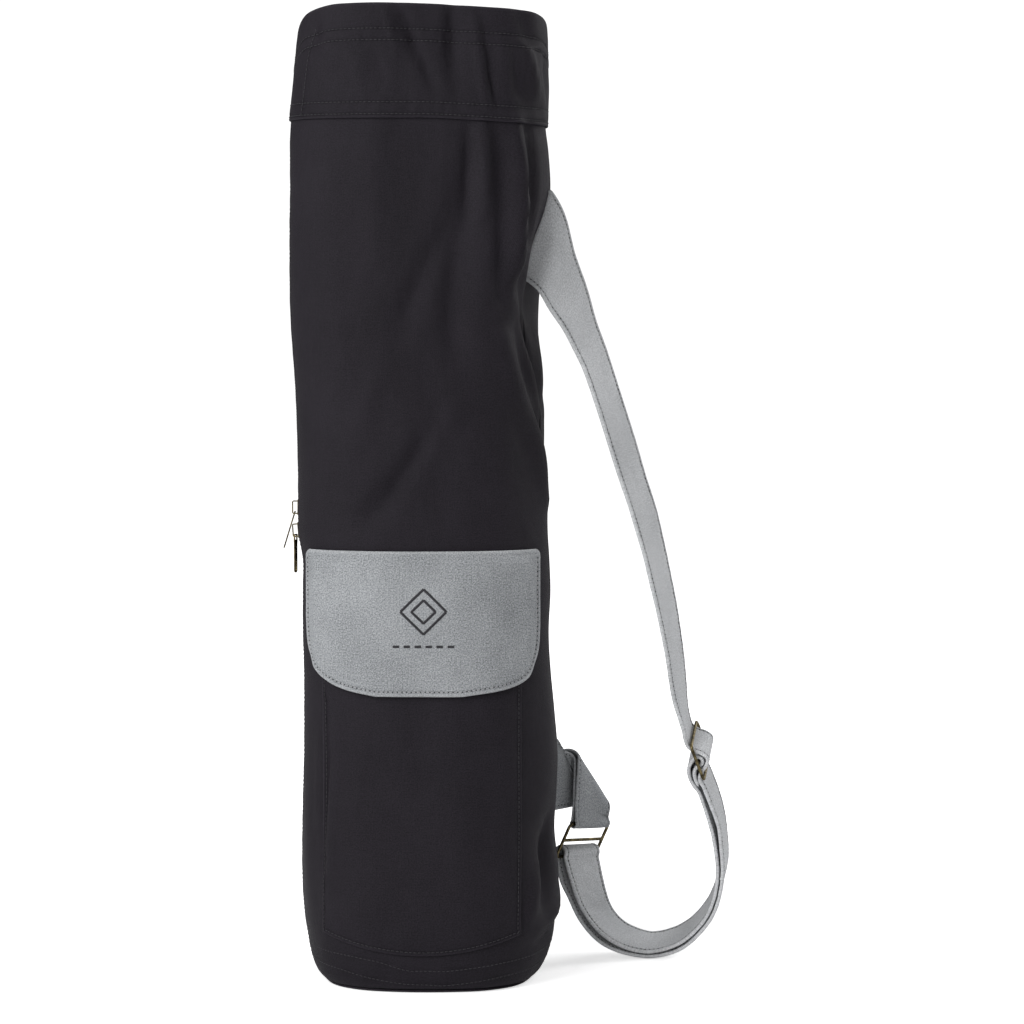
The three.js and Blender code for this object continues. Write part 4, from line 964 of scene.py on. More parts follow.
# The strap is the flap's grey canvas painted lighter: painted light, standing in for light from the right that falls on
# the strap more than on the bag.
LIT_STRAP_CANVAS = canvas(
    "strap_canvas_painted_lighter", dark=(0.320, 0.332, 0.345, 1.0), light=(0.840, 0.850, 0.868, 1.0),
    worn=(0.880, 0.885, 0.900, 1.0), yarn=1900.0, sheen=0.03, depth=1.0, contrast=0.32,
    crumple=0.45)
GREY_THREAD = thread_finish("grey_thread", (0.300, 0.305, 0.315, 1.0), (0.560, 0.565, 0.580, 1.0))
# Needle holes are drawn as small dark beads at the ends of the stitches: painted shade in the holes.
HOLE_SHADE = thread_finish("needle_hole_shade", (0.020, 0.021, 0.023, 1.0), (0.045, 0.046, 0.050, 1.0))

FLAP_THICKNESS = 2.0
FLAP_HIGH = 0.4455 * BAG_HEIGHT
FLAP_LOW = 0.3 * BAG_HEIGHT
FLAP_LOW_STAND = LAID_GAP + 0.2
FLAP_HIGH_STAND = LAID_GAP + PATCH_THICKNESS + LAID_GAP + 0.8
FLAP_STITCH = 3.4
FLAP_OUTLINE = np.array([
    (0.0, -0.437, 0.432), (0.025, -0.448, 0.443), (0.09, -0.449, 0.444), (0.3, -0.449, 0.444),
    (0.58, -0.447, 0.443), (0.73, -0.434, 0.435), (0.85, -0.395, 0.408), (0.92, -0.345, 0.368),
    (0.965, -0.28, 0.29), (1.0, -0.18, 0.15),
])


def flap_outline():
    downs = np.concatenate([np.linspace(0.0, 0.9, 50), np.linspace(0.91, 1.0, 30)])
    z = FLAP_HIGH + (FLAP_LOW - FLAP_HIGH) * downs
    left = along(FLAP_OUTLINE, 1, downs) * BAG_WIDTH
    right = along(FLAP_OUTLINE, 2, downs) * BAG_WIDTH
    left_side = np.stack([front_arc(left, z), z], -1)
    right_side = np.stack([front_arc(right, z), z], -1)[::-1]
    return even_outline(np.vstack([left_side, right_side]), 1.7)


def flap_stand(arc, z):
    left, right = front_arc([POCKET_LEFT], [POCKET_HIGH])[0], front_arc([POCKET_RIGHT], [POCKET_HIGH])[0]
    inside = ease((arc - left + 12.0) / 9.0) * ease((right + 12.0 - arc) / 9.0)
    inside = inside * ease((POCKET_HIGH + 9.0 - z) / 6.0)
    return FLAP_LOW_STAND + (FLAP_HIGH_STAND - FLAP_LOW_STAND) * inside


def flap_top(arc, z, gaps):
    """Height of the flap's outer face: a stitched groove, a soft ridge outside it and slight waves."""
    wave = 0.28 * np.sin(arc / 19.0 + 0.7) * np.sin(z / 23.0 + 1.1) * ease((gaps - 4) / 6)
    pucker = 0.13 * np.sin(arc / 1.7 + z / 2.1) * near(gaps, FLAP_STITCH, 2.2)
    below_top = ease((FLAP_HIGH - 4.6 - z) / 1.2)
    fold = 0.5 * np.exp(-((arc - 62) / 3.5) ** 2) * np.sin(z / 16.0) + 0.3 * np.exp(-((arc - 74) / 3.0) ** 2)
    return (0.2 * near(gaps, 1.8, 1.4) - 0.42 * near(gaps, FLAP_STITCH, 0.75)) * below_top + wave + pucker + fold * ease((gaps - 3) / 4)


def flap_cloth():
    cloth = Cloth()
    outline = flap_outline()

    def marks(arc, z, gaps):
        # wear at the rubbed edge, and painted shade in the stitched groove
        return 0.4 * near(gaps, 0.6, 1.2), 0.28 * near(gaps, FLAP_STITCH, 0.7) * ease((FLAP_HIGH - 4.6 - z) / 1.2)

    rings = (0.0, 0.3, 0.8, 1.5, 2.2, 2.9, FLAP_STITCH, 3.9, 4.7, 5.8)
    patch_cloth(cloth, outline, rings, 3.0, FLAP_THICKNESS, 1.5, flap_stand, flap_top, marks)
    cloth.piece("flap_cloth", GREY_CANVAS, "grey_canvas", "pocket_flap")
    threads, shade_dots = Thread(), Thread()
    line = inset(outline, FLAP_STITCH)
    start = int(np.argmax(line[:, 1] - 0.001 * line[:, 0]))
    line = np.roll(line, -start, axis=0)
    line = line[line[:, 1] < FLAP_HIGH - FLAP_STITCH - 0.8]
    bearing = front_bearing(line[:, 0], line[:, 1])
    high = flap_stand(line[:, 0], line[:, 1]) + FLAP_THICKNESS - 0.34
    path, outs = cloth_path(bearing, line[:, 1], high)
    threads.row(path, outs, pitch=3.2, length=2.5, radius=0.3)
    shade_dots.row(path, outs, pitch=3.2, length=1.3, radius=0.46, lift=0.0, shift=1.6)
    threads.piece("flap_stitches", GREY_THREAD, "grey_canvas")
    shade_dots.piece("flap_needle_hole_shade", HOLE_SHADE, "grey_canvas")


flap_cloth()

# Stitched pattern: two nested diamonds and a row of dashes, in satin stitches of black thread
PATTERN_Z = 264.5
PATTERN_X = 0.6
PATTERN_LINE = 1.9
PATTERN_PITCH = 0.36


def flap_face(arc, z):
    bearing = front_bearing(arc, z)
    high = flap_stand(arc, z) + FLAP_THICKNESS + flap_top(arc, z, np.full(len(arc), 30.0))
    return cloth_path(bearing, z, high)


def satin_line(thread, start, end, width):
    """Stitches side by side across a straight line on the flap, from start to end in mm."""
    start, end = np.array(start), np.array(end)
    length = np.linalg.norm(end - start)
    way = (end - start) / length
    across = np.array([-way[1], way[0]])
    places = start + way * np.arange(0.0, length, PATTERN_PITCH)[:, None]
    centres, outs = flap_face(places[:, 0], places[:, 1])
    ends, _ = flap_face(places[:, 0] + across[0], places[:, 1] + across[1])
    ways = ends - centres
    ways /= np.linalg.norm(ways, axis=1, keepdims=True)
    thread.shapes(centres + outs * 0.15, ways, outs, width, 0.24)


pattern = Thread()
for size in (15.5, 8.0):
    corners = [(size, 0.0), (0.0, size), (-size, 0.0), (0.0, -size)]
    for k in range(4):
        (x0, z0), (x1, z1) = corners[k - 1], corners[k]
        satin_line(pattern, (PATTERN_X + x0, PATTERN_Z + z0), (PATTERN_X + x1, PATTERN_Z + z1), PATTERN_LINE)
for dash in range(6):
    dash_x = PATTERN_X - 20.5 + dash * 7.4
    satin_line(pattern, (dash_x, PATTERN_Z - 24.0), (dash_x + 4.0, PATTERN_Z - 24.0), 1.9)
pattern.piece("flap_pattern", BLACK_THREAD, "grey_canvas")

# ---------------------------------------------------------------------------
# Zip: black tape and moulded teeth that close the side opening, with two sliders of old brass that
# meet above the pocket. Each pull hangs from its slider's bail by a cross bar and swings.
# ---------------------------------------------------------------------------
TEETH_WIDTH = 5.0
TEETH_SINK = 0.2
TEETH_RAISE = 0.75
TEETH_THICKNESS = 2.0
TOOTH_PITCH = 2.0
TAPE_WIDTH = 14.0
TAPE_THICKNESS = 0.7
TAPE_OUT = -TEETH_SINK - TEETH_THICKNESS - PIECE_GAP - 0.2

ZIP_TAPE_CLOTH = canvas(
    "zip_tape_cloth", dark=(0.008, 0.008, 0.009, 1.0), light=(0.020, 0.020, 0.022, 1.0),
    worn=(0.040, 0.040, 0.044, 1.0), yarn=1700.0, sheen=0.05, depth=0.5, contrast=0.4)


def moulded_black():
    """Black moulded zip teeth: dark, half glossy, with faint rub marks."""
    material, w, shader = new_material("moulded_black_teeth")
    place = w.place()
    rub = w.noise(place, 700.0, 3.0)
    colour = w.mix(w.span(rub, 0.4, 0.7), (0.010, 0.010, 0.011, 1.0), (0.030, 0.030, 0.032, 1.0))
    w.feed(shader.inputs["Base Color"], colour)
    w.feed(shader.inputs["Roughness"], w.span(rub, 0.3, 0.7, 0.35, 0.6))
    return material


def zip_edge(z):
    return bag_surface(np.full(np.shape(z), ZIP_BEARING), z)


def zip_tape():
    cloth = Cloth()
    z = np.linspace(ZIP_LOW - 4.0, ZIP_HIGH + 6.0, 180)[:, None]
    side = np.array([0.5, 0.47, 0.4, 0.3, 0.15, 0.0, -0.15, -0.3, -0.4, -0.47, -0.5])[None, :] * TAPE_WIDTH
    edge = zip_edge(z)
    distance = np.minimum(TAPE_WIDTH / 2 - np.abs(side), np.minimum(z - z[0], z[-1] - z))
    half = fold_round(distance, TAPE_THICKNESS, 0.7)
    measure = np.stack([side + 0 * z, z + 0 * side], -1)
    for face in (1, -1):
        out = TAPE_OUT - TAPE_THICKNESS / 2 + face * half
        points = np.stack([edge[..., 0] - out, side + 0 * z, z + 0 * side], -1)
        cloth.grid(points, measure, flip=face < 0)
    cloth.piece("zip_tape_cloth", ZIP_TAPE_CLOTH, "zip_cloth", "zip_tape")


def zip_teeth():
    """Two rows of waisted teeth that mesh at the middle; each tooth is a small block with eased edges."""
    block = []
    for out, grow in ((-TEETH_THICKNESS, 0.7), (-TEETH_THICKNESS + 0.35, 1.0), (-0.4, 1.0), (0.0, 0.66)):
        for across, tall in ((-0.2, 0.42), (0.45, 0.34), (0.75, 0.46), (1.0, 0.3)):
            block.append((out, across, tall * grow))
    points, faces, count = [], [], 0
    heights = np.arange(ZIP_LOW + 1.0, ZIP_HIGH - 0.5, TOOTH_PITCH)
    edge = zip_edge(heights)
    layers, steps = 4, 4
    for side in (-1, 1):
        shift = 0.0 if side < 0 else TOOTH_PITCH / 2
        for z, place in zip(heights, edge):
            for out, across, tall in block:
                y = side * (0.55 * TEETH_WIDTH / 2 - across * TEETH_WIDTH / 2 * 0.72 + 0.55)
                for end in (-1, 1):
                    depth = place[0] + TEETH_SINK - TEETH_RAISE - out
                    points.append((depth, y, z + shift + end * tall * TOOTH_PITCH * 0.52))
            at = lambda layer, step, end: count + (layer * steps + step) * 2 + end
            for layer in range(layers - 1):
                for step in range(steps - 1):
                    faces.append((at(layer, step, 0), at(layer, step + 1, 0), at(layer + 1, step + 1, 0), at(layer + 1, step, 0)))
                    faces.append((at(layer, step, 1), at(layer + 1, step, 1), at(layer + 1, step + 1, 1), at(layer, step + 1, 1)))
                for step in (0, steps - 1):
                    faces.append((at(layer, step, 0), at(layer + 1, step, 0), at(layer + 1, step, 1), at(layer, step, 1)))
            for step in range(steps - 1):
                for layer in (0, layers - 1):
                    faces.append((at(layer, step, 0), at(layer, step, 1), at(layer, step + 1, 1), at(layer, step + 1, 0)))
            count += len(block) * 2
    cloth = Cloth()
    points = np.array(points)
    cloth.add(points, faces, points[:, 1:])
    cloth.piece("zip_teeth_rows", moulded_black(), "zip_cloth", "zip_teeth", weld=0.0, hard=38)


zip_tape()
zip_teeth()


def old_brass():
    """Antique brass: brown tarnish in random patches, paler rubbed patches and fine scratches."""
    material, w, shader = new_material("old_brass")
    place = w.place()
    tarnish = w.span(w.noise(place, 260.0, 4.0), 0.38, 0.66)
    grain = w.noise(place, 1900.0, 3.0)
    colour = w.mix(tarnish, (0.050, 0.040, 0.022, 1.0), (0.235, 0.190, 0.095, 1.0))
    colour = w.mix(w.span(grain, 0.60, 0.78), colour, (0.430, 0.365, 0.215, 1.0))
    w.feed(shader.inputs["Base Color"], colour)
    rough = w.math("ADD", w.span(tarnish, 0.0, 1.0, 0.46, 0.27), w.math("MULTIPLY", grain, 0.12))
    w.feed(shader.inputs["Roughness"], rough)
    shader.inputs["Metallic"].default_value = 1.0
    scratch = w.noise(w.stretch(place, (300.0, 4200.0, 4200.0)), 1.0, 2.0)
    w.feed(shader.inputs["Normal"], w.bump(scratch, 0.25, 0.00008))
    return material


OLD_BRASS = old_brass()


def eased_metal(node, name, body, round_off):
    """A cast part in its CAD place with its edges eased: flat faces joined, corners rounded."""
    mesh = bmesh.new()
    mesh.from_mesh(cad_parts[node].data)
    bmesh.ops.remove_doubles(mesh, verts=mesh.verts, dist=0.00001)
    bmesh.ops.dissolve_limit(mesh, verts=mesh.verts, edges=mesh.edges, angle_limit=math.radians(2.0))
    sharp = [edge for edge in mesh.edges if len(edge.link_faces) == 2 and edge.calc_face_angle() > math.radians(28)]
    bmesh.ops.bevel(
        mesh, geom=sharp, offset=round_off / METRE, segments=2, profile=0.6, affect="EDGES",
        clamp_overlap=True, offset_type="OFFSET")
    bmesh.ops.triangulate(mesh, faces=mesh.faces)
    data = bpy.data.meshes.new(name)
    mesh.to_mesh(data)
    mesh.free()
    data.shade_smooth()
    data.set_sharp_from_angle(angle=math.radians(34))
    bag_piece(name, data, OLD_BRASS, node, body)


eased_metal("zip_slider_upper", "slider_upper_cast", "bag", 0.22)
eased_metal("zip_slider_lower", "slider_lower_cast", "bag", 0.22)
eased_metal("zip_pull_upper", "pull_upper_tongue", "pull_upper", 0.16)
eased_metal("zip_pull_lower", "pull_lower_tongue", "pull_lower", 0.16)

# ---------------------------------------------------------------------------
# Buckles: two three-bar frames of round wire. One slides on the strap, the other hangs from the tab.
# ---------------------------------------------------------------------------
STRAP_WIDTH = 38.0
STRAP_THICKNESS = 2.4
BUCKLE_WIRE = 2.4
BUCKLE_THICKNESS = 2.2
BUCKLE_SLACK = 2.4
BUCKLE_HEIGHT = 30.0
BUCKLE_CORNER = 3.2
BUCKLE_INSIDE = STRAP_WIDTH + BUCKLE_SLACK
WRAP_GAP = 0.4
BAR_SPACING = (BUCKLE_HEIGHT - BUCKLE_WIRE) / 2
WRAP_RADIUS = math.hypot(BUCKLE_WIRE, BUCKLE_THICKNESS) / 2 + WRAP_GAP + STRAP_THICKNESS / 2


def unit(vector):
    vector = np.asarray(vector, float)
    return vector / np.linalg.norm(vector, axis=-1, keepdims=True)


def on_bag(out, back, up):
    return np.array([out * BAG_WIDTH, back * BAG_DEPTH, up * BAG_HEIGHT])


def buckle_frame(middle, wide, down):
    w = unit(wide)
    d = unit(np.array(down) - w * np.dot(down, w))
    return {"middle": np.array(middle), "w": w, "d": d, "n": unit(np.cross(d, w))}


def in_frame(buckle, downwards, outwards, sideways=0.0):
    return buckle["middle"] + downwards * buckle["d"] + outwards * buckle["n"] + sideways * buckle["w"]


SLIDER_FRAME = buckle_frame(on_bag(1.108, 0.271, 0.2239), (0.14, 0.935, 0.327), (0.345, 0.264, -0.902))
RING_FRAME = buckle_frame(on_bag(0.633, 0.309, 0.1279), (0.668, 0.739, -0.09), (-0.371, 0.233, -0.899))


def wire_tube(cloth, path, normal, closed, flat=0.93, sides=14):
    """Round wire along a flat path; normal is the path's own plane."""
    path = np.asarray(path)
    if closed:
        before, after = np.roll(path, 1, axis=0), np.roll(path, -1, axis=0)
    else:
        before, after = np.vstack([path[:1], path[:-1]]), np.vstack([path[1:], path[-1:]])
    way = unit(after - before)
    across = np.cross(way, normal)
    turn = np.linspace(0.0, 2 * math.pi, sides + 1)
    radius = BUCKLE_WIRE / 2
    rings = path[:, None, :] + radius * np.cos(turn)[None, :, None] * across[:, None, :]
    rings = rings + radius * flat * np.sin(turn)[None, :, None] * np.asarray(normal)[None, None, :]
    if closed:
        rings = np.concatenate([rings, rings[:1]])
    measure = np.stack(np.meshgrid(np.arange(len(rings)) * 1.0, turn, indexing="ij"), -1)
    cloth.grid(rings, measure)
    if not closed:
        for ring, centre in ((rings[0], path[0]), (rings[-1], path[-1])):
            fan = np.stack([ring, np.broadcast_to(centre, ring.shape)])
            cloth.grid(fan, np.zeros(fan.shape[:2] + (2,)))


def buckle_wire(name, buckle, stands_for):
    cloth = Cloth()
    half_wide = BUCKLE_INSIDE / 2 + BUCKLE_WIRE / 2
    half_high = BUCKLE_HEIGHT / 2 - BUCKLE_WIRE / 2
    outline = []
    for sx, sy, start in ((1, 1, 0), (-1, 1, 90), (-1, -1, 180), (1, -1, 270)):
        for k in range(9):
            turn = math.radians(start + 90 * k / 8)
            outline.append((
                sx * (half_wide - BUCKLE_CORNER) + BUCKLE_CORNER * math.cos(turn),
                sy * (half_high - BUCKLE_CORNER) + BUCKLE_CORNER * math.sin(turn)))
    path = [in_frame(buckle, -b, 0.0, a) for a, b in outline]
    wire_tube(cloth, path, buckle["n"], True)
    bar = [in_frame(buckle, 0.0, 0.0, a) for a in np.linspace(-half_wide, half_wide, 12)]
    wire_tube(cloth, bar, buckle["n"], False, flat=0.9)
    cloth.piece(name, OLD_BRASS, "aged_brass", stands_for, hard=50)


buckle_wire("strap_slider_wire", SLIDER_FRAME, "strap_slider")
buckle_wire("tab_ring_wire", RING_FRAME, "strap_ring")

# ---------------------------------------------------------------------------
# Shoulder strap: grey canvas folded double and topstitched along both edges. It leaves the side seam
# wide, narrows, runs through the slider, loops round the ring's low bar and is sewn back on itself.
# ---------------------------------------------------------------------------
ROOT_LOW = 0.717 * BAG_HEIGHT
ROOT_HIGH = 0.809 * BAG_HEIGHT
ROOT_STAND = PIECE_GAP + 1.8
ROOT_TUCK = 1.4
SECTION_STEP = 1.7
HEM_STITCH = 3.1

# out, back and up as shares of the bag, turn and tip of the width in degrees, width as a share
STRAP_RUN = (
    (0.499, -0.052, 0.746, 45, 64, 1.6), (0.542, -0.03, 0.7166, 38, 55, 1.32),
    (0.592, -0.008, 0.6895, 35, 45, 1.11), (0.635, 0.026, 0.66, 30, 33, 1.0),
    (0.675, 0.052, 0.6353, 28, 22, 1.0), (0.731, 0.072, 0.5924, 28, 17, 1.0),
    (0.833, 0.115, 0.5086, 27, 15, 1.0), (0.884, 0.136, 0.4672, 26, 15, 1.0),
    (0.944, 0.173, 0.4041, 23, 14, 1.0), (0.993, 0.202, 0.3411, 20, 15, 1.0),
    (1.021, 0.229, 0.2894, 16, 17, 1.0),
)
# the loop's outer layer, and how far inside it the inner layer lies in mm
STRAP_LOOP = (
    (1.163, 0.285, 0.1762, 9, 19, 6.6), (1.192, 0.305, 0.1532, 8, 18, 5.2),
    (1.207, 0.326, 0.1286, 9, 17, 4.2), (1.214, 0.354, 0.1003, 9, 15, 3.6),
    (1.201, 0.381, 0.0746, 8, 15, 3.4), (1.169, 0.401, 0.0513, 8, 15, 3.5),
    (1.113, 0.422, 0.0306, 8, 13, 3.8), (1.048, 0.435, 0.0169, 8, 13, 3.9),
    (0.97, 0.442, 0.0093, 9, 13, 3.8), (0.896, 0.435, 0.0079, 11, 12, 4.0),
    (0.805, 0.418, 0.0144, 17, 12, 4.8), (0.733, 0.408, 0.0252, 23, 9, 6.0),
    (0.673, 0.384, 0.0444, 30, 2, 6.6), (0.637, 0.352, 0.0671, 38, -4, 6.9),
    (0.611, 0.334, 0.0849, 42, -5, 6.9),
)
# through the buckles: down along the buckle and out of its face, in mm
THROUGH_SLIDER = ((-28, -2), (-14, -3.4), (-9, -0.4), (-5, 4.6), (0, 7.2), (5, 4.6), (9, -0.4), (14, -3.4), (21, -2.8))
SEWN_END = ((25, -7.4), (18, -9.3), (12, -10.2), (6, -9.2), (1.5, -6.8))
SEWN_TAIL = ((5.4, -3.9), (9.5, -5.9), (14, -6.4), (19, -5.9))
RING_WRAP = 100.0
RING_SLACK = 1.5
RING_RISE = 3.2
END_WRAP = (-40.0, 165.0)
BAR_STEPS = 10


def aimed(turn, tip):
    flat = math.cos(math.radians(tip))
    return np.array([
        flat * math.sin(math.radians(turn)), flat * math.cos(math.radians(turn)), math.sin(math.radians(tip))])


def edges_of(middle, wide, width):
    return np.concatenate([middle - wide * width / 2, middle + wide * width / 2])


def round_bar(buckle, bar_down, start, end, radius, width):
    rows = []
    for share in np.linspace(0.0, 1.0, BAR_STEPS + 1):
        turn = math.radians(start + (end - start) * share)
        middle = in_frame(buckle, bar_down - radius * math.cos(turn), radius * math.sin(turn))
        rows.append(edges_of(middle, buckle["w"], width))
    return rows


def strap_rows():
    """Left and right edge of the strap, row by row, from the seam to the sewn end."""
    rows = []
    for stand in (-ROOT_TUCK, ROOT_STAND):
        ends = [bag_point(seam_bearing(z), np.array(z), stand) for z in (ROOT_LOW, ROOT_HIGH)]
        rows.append(np.concatenate(ends))
    for out, back, up, turn, tip, wide in STRAP_RUN:
        rows.append(edges_of(on_bag(out, back, up), aimed(turn, tip), wide * STRAP_WIDTH))
    rows += [edges_of(in_frame(SLIDER_FRAME, *spot), SLIDER_FRAME["w"], STRAP_WIDTH) for spot in THROUGH_SLIDER]
    outer = [(on_bag(*row[:3]), aimed(row[3], row[4]), row[5]) for row in STRAP_LOOP]
    rows += [edges_of(middle, wide, STRAP_WIDTH) for middle, wide, _ in outer]
    rows += round_bar(RING_FRAME, BAR_SPACING - RING_RISE, -RING_WRAP, RING_WRAP, WRAP_RADIUS + RING_SLACK, STRAP_WIDTH)
    inner = []
    for k, (middle, wide, layer) in enumerate(outer):
        run = outer[min(k + 1, len(outer) - 1)][0] - outer[max(k - 1, 0)][0]
        inner.append(edges_of(middle + unit(np.cross(wide, run)) * layer, wide, STRAP_WIDTH))
    rows += inner[1:-1][::-1]
    rows += [edges_of(in_frame(SLIDER_FRAME, *spot), SLIDER_FRAME["w"], STRAP_WIDTH) for spot in SEWN_END]
    rows += round_bar(SLIDER_FRAME, 0.0, *END_WRAP, WRAP_RADIUS, STRAP_WIDTH)
    rows += [edges_of(in_frame(SLIDER_FRAME, *spot), SLIDER_FRAME["w"], STRAP_WIDTH) for spot in SEWN_TAIL]
    return np.array(rows)


def smooth_rows(rows, step):
    """The same two edges read at even steps along the middle of the ribbon."""
    middle = (rows[:, :3] + rows[:, 3:]) / 2
    reach = np.concatenate([[0.0], np.cumsum(np.linalg.norm(np.diff(middle, axis=0), axis=1))])
    at = np.linspace(0.0, reach[-1], int(round(reach[-1] / step)) + 1)
    table = np.concatenate([reach[:, None], rows], axis=1)
    return np.stack([along(table, k, at) for k in range(1, 7)], -1), at


def edge_faces(rows):
    """Direction that each edge of the ribbon faces, section by section."""
    wide = unit(rows[:, 3:] - rows[:, :3])
    faces = []
    for edge in (rows[:, :3], rows[:, 3:]):
        run = np.vstack([edge[1:], edge[-1:]]) - np.vstack([edge[:1], edge[:-1]])
        faces.append(unit(np.cross(run, wide)))
    return wide, faces[0], faces[1]


RIBBON_MARKS = (0.0, 0.2, 0.55, 1.0, 1.6, 2.2, 2.7, HEM_STITCH, 3.5, 4.1, 5.2)
RIBBON_FIELD = (0.25, 0.5, 0.75)


def ribbon_sides(width):
    """Places across a ribbon: close together in the hems, further apart in the field."""
    half = width / 2
    field = half - RIBBON_MARKS[-1]
    left = [-half + m for m in RIBBON_MARKS]
    middle = [-field + 2 * field * s for s in (0.12, 0.25, 0.38, 0.5, 0.62, 0.75, 0.88)]
    return np.array(left + middle + [-side for side in left[::-1]])


def ribbon_cloth(cloth, rows, at, thickness, ends=(True, True), seed=0.0):
    """A doubled strap along its two edges, with hems, stitched grooves and slight buckling."""
    wide, low_face, high_face = edge_faces(rows)
    middle = (rows[:, :3] + rows[:, 3:]) / 2
    width = np.linalg.norm(rows[:, 3:] - rows[:, :3], axis=1)
    sides = np.array([ribbon_sides(one) for one in width])
    share = 0.5 + sides / width[:, None]
    face = unit(low_face[:, None, :] * (1 - share[..., None]) + high_face[:, None, :] * share[..., None])
    distance = width[:, None] / 2 - np.abs(sides)
    along_run = at[:, None] + 0 * sides
    from_end = np.full(distance.shape, 99.0)
    if ends[0]:
        from_end = np.minimum(from_end, along_run - at[0])
    if ends[1]:
        from_end = np.minimum(from_end, at[-1] - along_run)
    half = fold_round(np.minimum(distance, from_end), thickness, 1.2)
    groove = near(distance, HEM_STITCH, 0.7)
    pucker = 0.12 * np.sin(along_run / 1.75 + seed) * near(distance, HEM_STITCH, 2.4)
    wave = 0.22 * np.sin(along_run / 9.0 + seed + 1.7 * np.sin(along_run / 41.0)) * np.sin(sides / 9.0 + along_run / 60.0)
    base = middle[:, None, :] + wide[:, None, :] * sides[..., None] + face * wave[..., None]
    relief = 0.10 * near(distance, 1.7, 1.3) - 0.34 * groove + pucker
    measure = np.stack([along_run, sides], -1)
    rubbed = 0.45 * near(distance, 0.2, 0.6)
    for side in (1, -1):
        high = (half + relief * ease(distance / 1.2)) * side
        # painted shade in the stitched grooves along both hems
        cloth.grid(base + face * high[..., None], measure, rubbed, 0.30 * groove, flip=side < 0)
    return middle, wide, low_face, high_face, width


def ribbon_threads(threads, shade_dots, rows, thickness, trim=(0, 0), faces=(1, -1)):
    """Both topstitched rows on the given faces of a ribbon, with dark beads of painted shade in their needle holes."""
    wide, low_face, high_face = edge_faces(rows)
    last = len(rows) - trim[1]
    for edge, inward, face in ((rows[:, :3], wide, low_face), (rows[:, 3:], -wide, high_face)):
        for side in faces:
            path = edge + inward * HEM_STITCH + face * side * (thickness / 2 - 0.26)
            path, outs = path[trim[0]:last], face[trim[0]:last] * side
            threads.row(path, outs, pitch=3.2, length=2.5, radius=0.29)
            shade_dots.row(path, outs, pitch=3.2, length=1.3, radius=0.44, lift=0.0, shift=1.6)


def strap_pieces():
    rows, at = smooth_rows(strap_rows(), SECTION_STEP)
    cloth = Cloth()
    ribbon_cloth(cloth, rows, at, STRAP_THICKNESS)
    cloth.piece("strap_cloth", LIT_STRAP_CANVAS, "grey_canvas", "shoulder_strap")
    threads, shade_dots = Thread(), Thread()
    ribbon_threads(threads, shade_dots, rows, STRAP_THICKNESS, trim=(3, 1))
    threads.piece("strap_stitches", GREY_THREAD, "grey_canvas")
    shade_dots.piece("strap_needle_hole_shade", HOLE_SHADE, "grey_canvas")


strap_pieces()

# ---------------------------------------------------------------------------
# Tab: a short length of the same strap. It leaves the seam doubled, folds over on the slant, and its
# end goes round the ring's top bar and back between the same stitches.
# ---------------------------------------------------------------------------
TAB_LOW = 0.163 * BAG_HEIGHT
TAB_HIGH = 0.241 * BAG_HEIGHT
TAB_LAYER = 1.6
TAB_STAND = PIECE_GAP + 1.7
TAB_FOLD_HIGH = 46.0
TAB_FOLD_LOW = 8.0
TAB_FOLD_SLIDE = 9.0
TAB_FOLD_STEPS = 6
TAB_WRAP = (40.0, 320.0)
EYE_ROOT = 7.0
LAYER_SET = TAB_LAYER / 2 + 0.1
TAB_SLIT = 1.1
BAR_RADIUS = WRAP_RADIUS - STRAP_THICKNESS / 2 + TAB_LAYER / 2
EYE_FRAME = buckle_frame(in_frame(RING_FRAME, -BAR_SPACING, 0.0), RING_FRAME["w"], (-0.05, -0.075, -0.99))


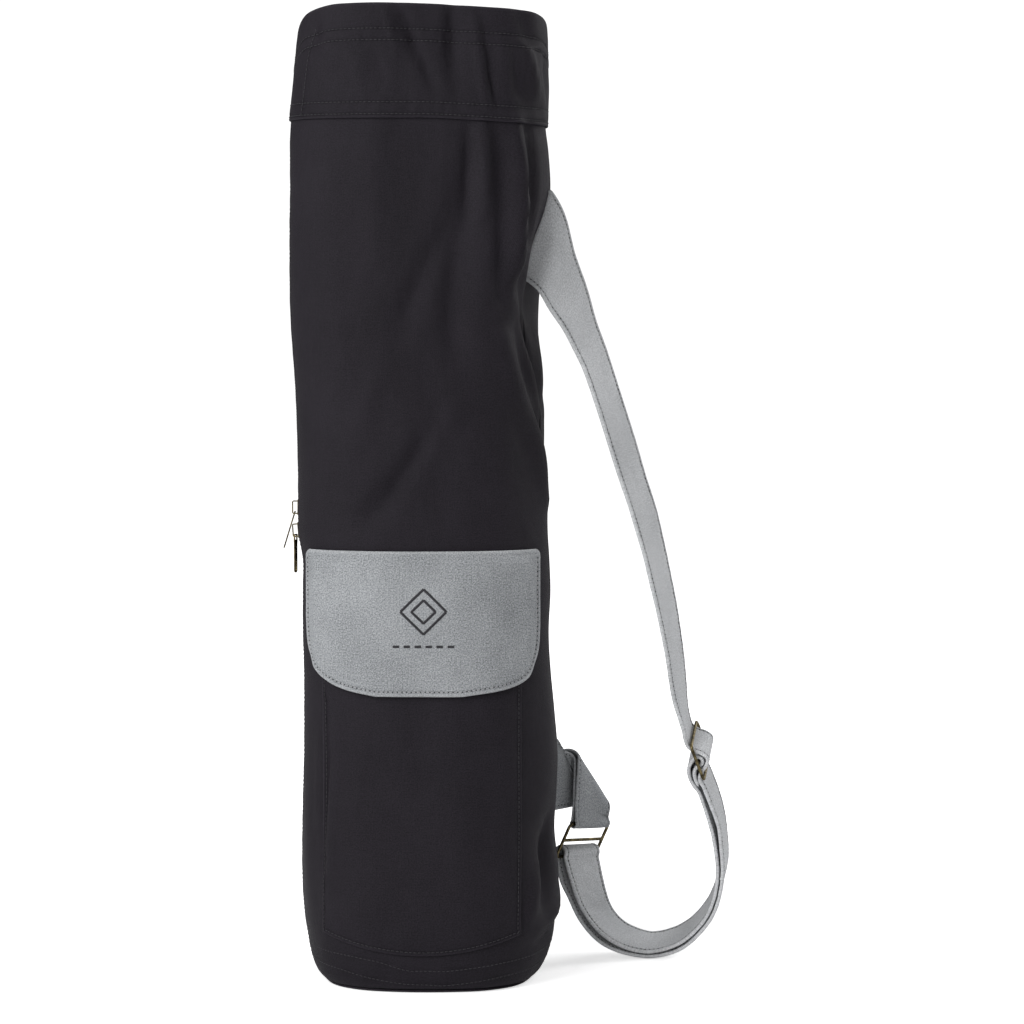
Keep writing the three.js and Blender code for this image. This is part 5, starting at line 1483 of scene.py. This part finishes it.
def tab_rows():
    """Middle of the doubled tab: its root on the seam, the turns of the slanting fold, its low end."""
    roots = [bag_point(seam_bearing(z), np.array(z), TAB_STAND) for z in (TAB_HIGH, TAB_LOW)]
    tucked = [bag_point(seam_bearing(z), np.array(z), -ROOT_TUCK) for z in (TAB_HIGH, TAB_LOW)]
    rows = [np.concatenate(tucked), np.concatenate(roots)]
    radii = [-np.dot(root - EYE_FRAME["middle"], EYE_FRAME["n"]) / 2 for root in roots]
    half = STRAP_WIDTH / 2
    slant = unit(np.array([2 * half, TAB_FOLD_LOW - TAB_FOLD_HIGH]))
    for share in np.linspace(0.0, 1.0, TAB_FOLD_STEPS + 1):
        turn = math.pi * share
        slide = TAB_FOLD_SLIDE * (share - 1)
        ends = []
        for radius, side, high in zip(radii, (-half, half), (TAB_FOLD_HIGH, TAB_FOLD_LOW)):
            bulge = radius * math.sin(turn)
            across = side + slide * slant[0] - bulge * slant[1]
            up = high + slide * slant[1] + bulge * slant[0]
            ends.append(in_frame(EYE_FRAME, -up, -radius * (1 + math.cos(turn)), across))
        rows.append(np.concatenate(ends))
    rows.append(edges_of(in_frame(EYE_FRAME, -BAR_RADIUS, 0.0), EYE_FRAME["w"], STRAP_WIDTH))
    return np.array(rows)


def tab_pieces():
    middle_rows, _ = smooth_rows(tab_rows(), 1.0)
    keep = middle_rows[np.dot((middle_rows[:, :3] + middle_rows[:, 3:]) / 2 - EYE_FRAME["middle"], EYE_FRAME["d"]) < -EYE_ROOT - 2.0]
    _, low_face, high_face = edge_faces(keep)
    spread = 1.0 + TAB_SLIT * np.sin(math.pi * np.linspace(0.0, 1.0, len(keep)))[:, None]
    shifted = lambda amount: keep + amount * spread * np.concatenate([low_face, high_face], axis=1)
    wrap, _ = smooth_rows(np.array(round_bar(EYE_FRAME, 0.0, *TAB_WRAP, BAR_RADIUS, STRAP_WIDTH)), 1.0)
    run = np.concatenate([shifted(LAYER_SET), wrap, shifted(-LAYER_SET)[::-1]])
    middle = (run[:, :3] + run[:, 3:]) / 2
    at = np.concatenate([[0.0], np.cumsum(np.linalg.norm(np.diff(middle, axis=0), axis=1))])
    cloth = Cloth()
    ribbon_cloth(cloth, run, at, TAB_LAYER, seed=2.4)
    cloth.piece("tab_cloth", GREY_CANVAS, "grey_canvas", "strap_tab")
    threads, shade_dots = Thread(), Thread()
    for amount, side in ((LAYER_SET, 1), (-LAYER_SET, -1)):
        ribbon_threads(threads, shade_dots, shifted(amount), TAB_LAYER, trim=(4, 0), faces=(side,))
    threads.piece("tab_stitches", GREY_THREAD, "grey_canvas")
    shade_dots.piece("tab_needle_hole_shade", HOLE_SHADE, "grey_canvas")


tab_pieces()
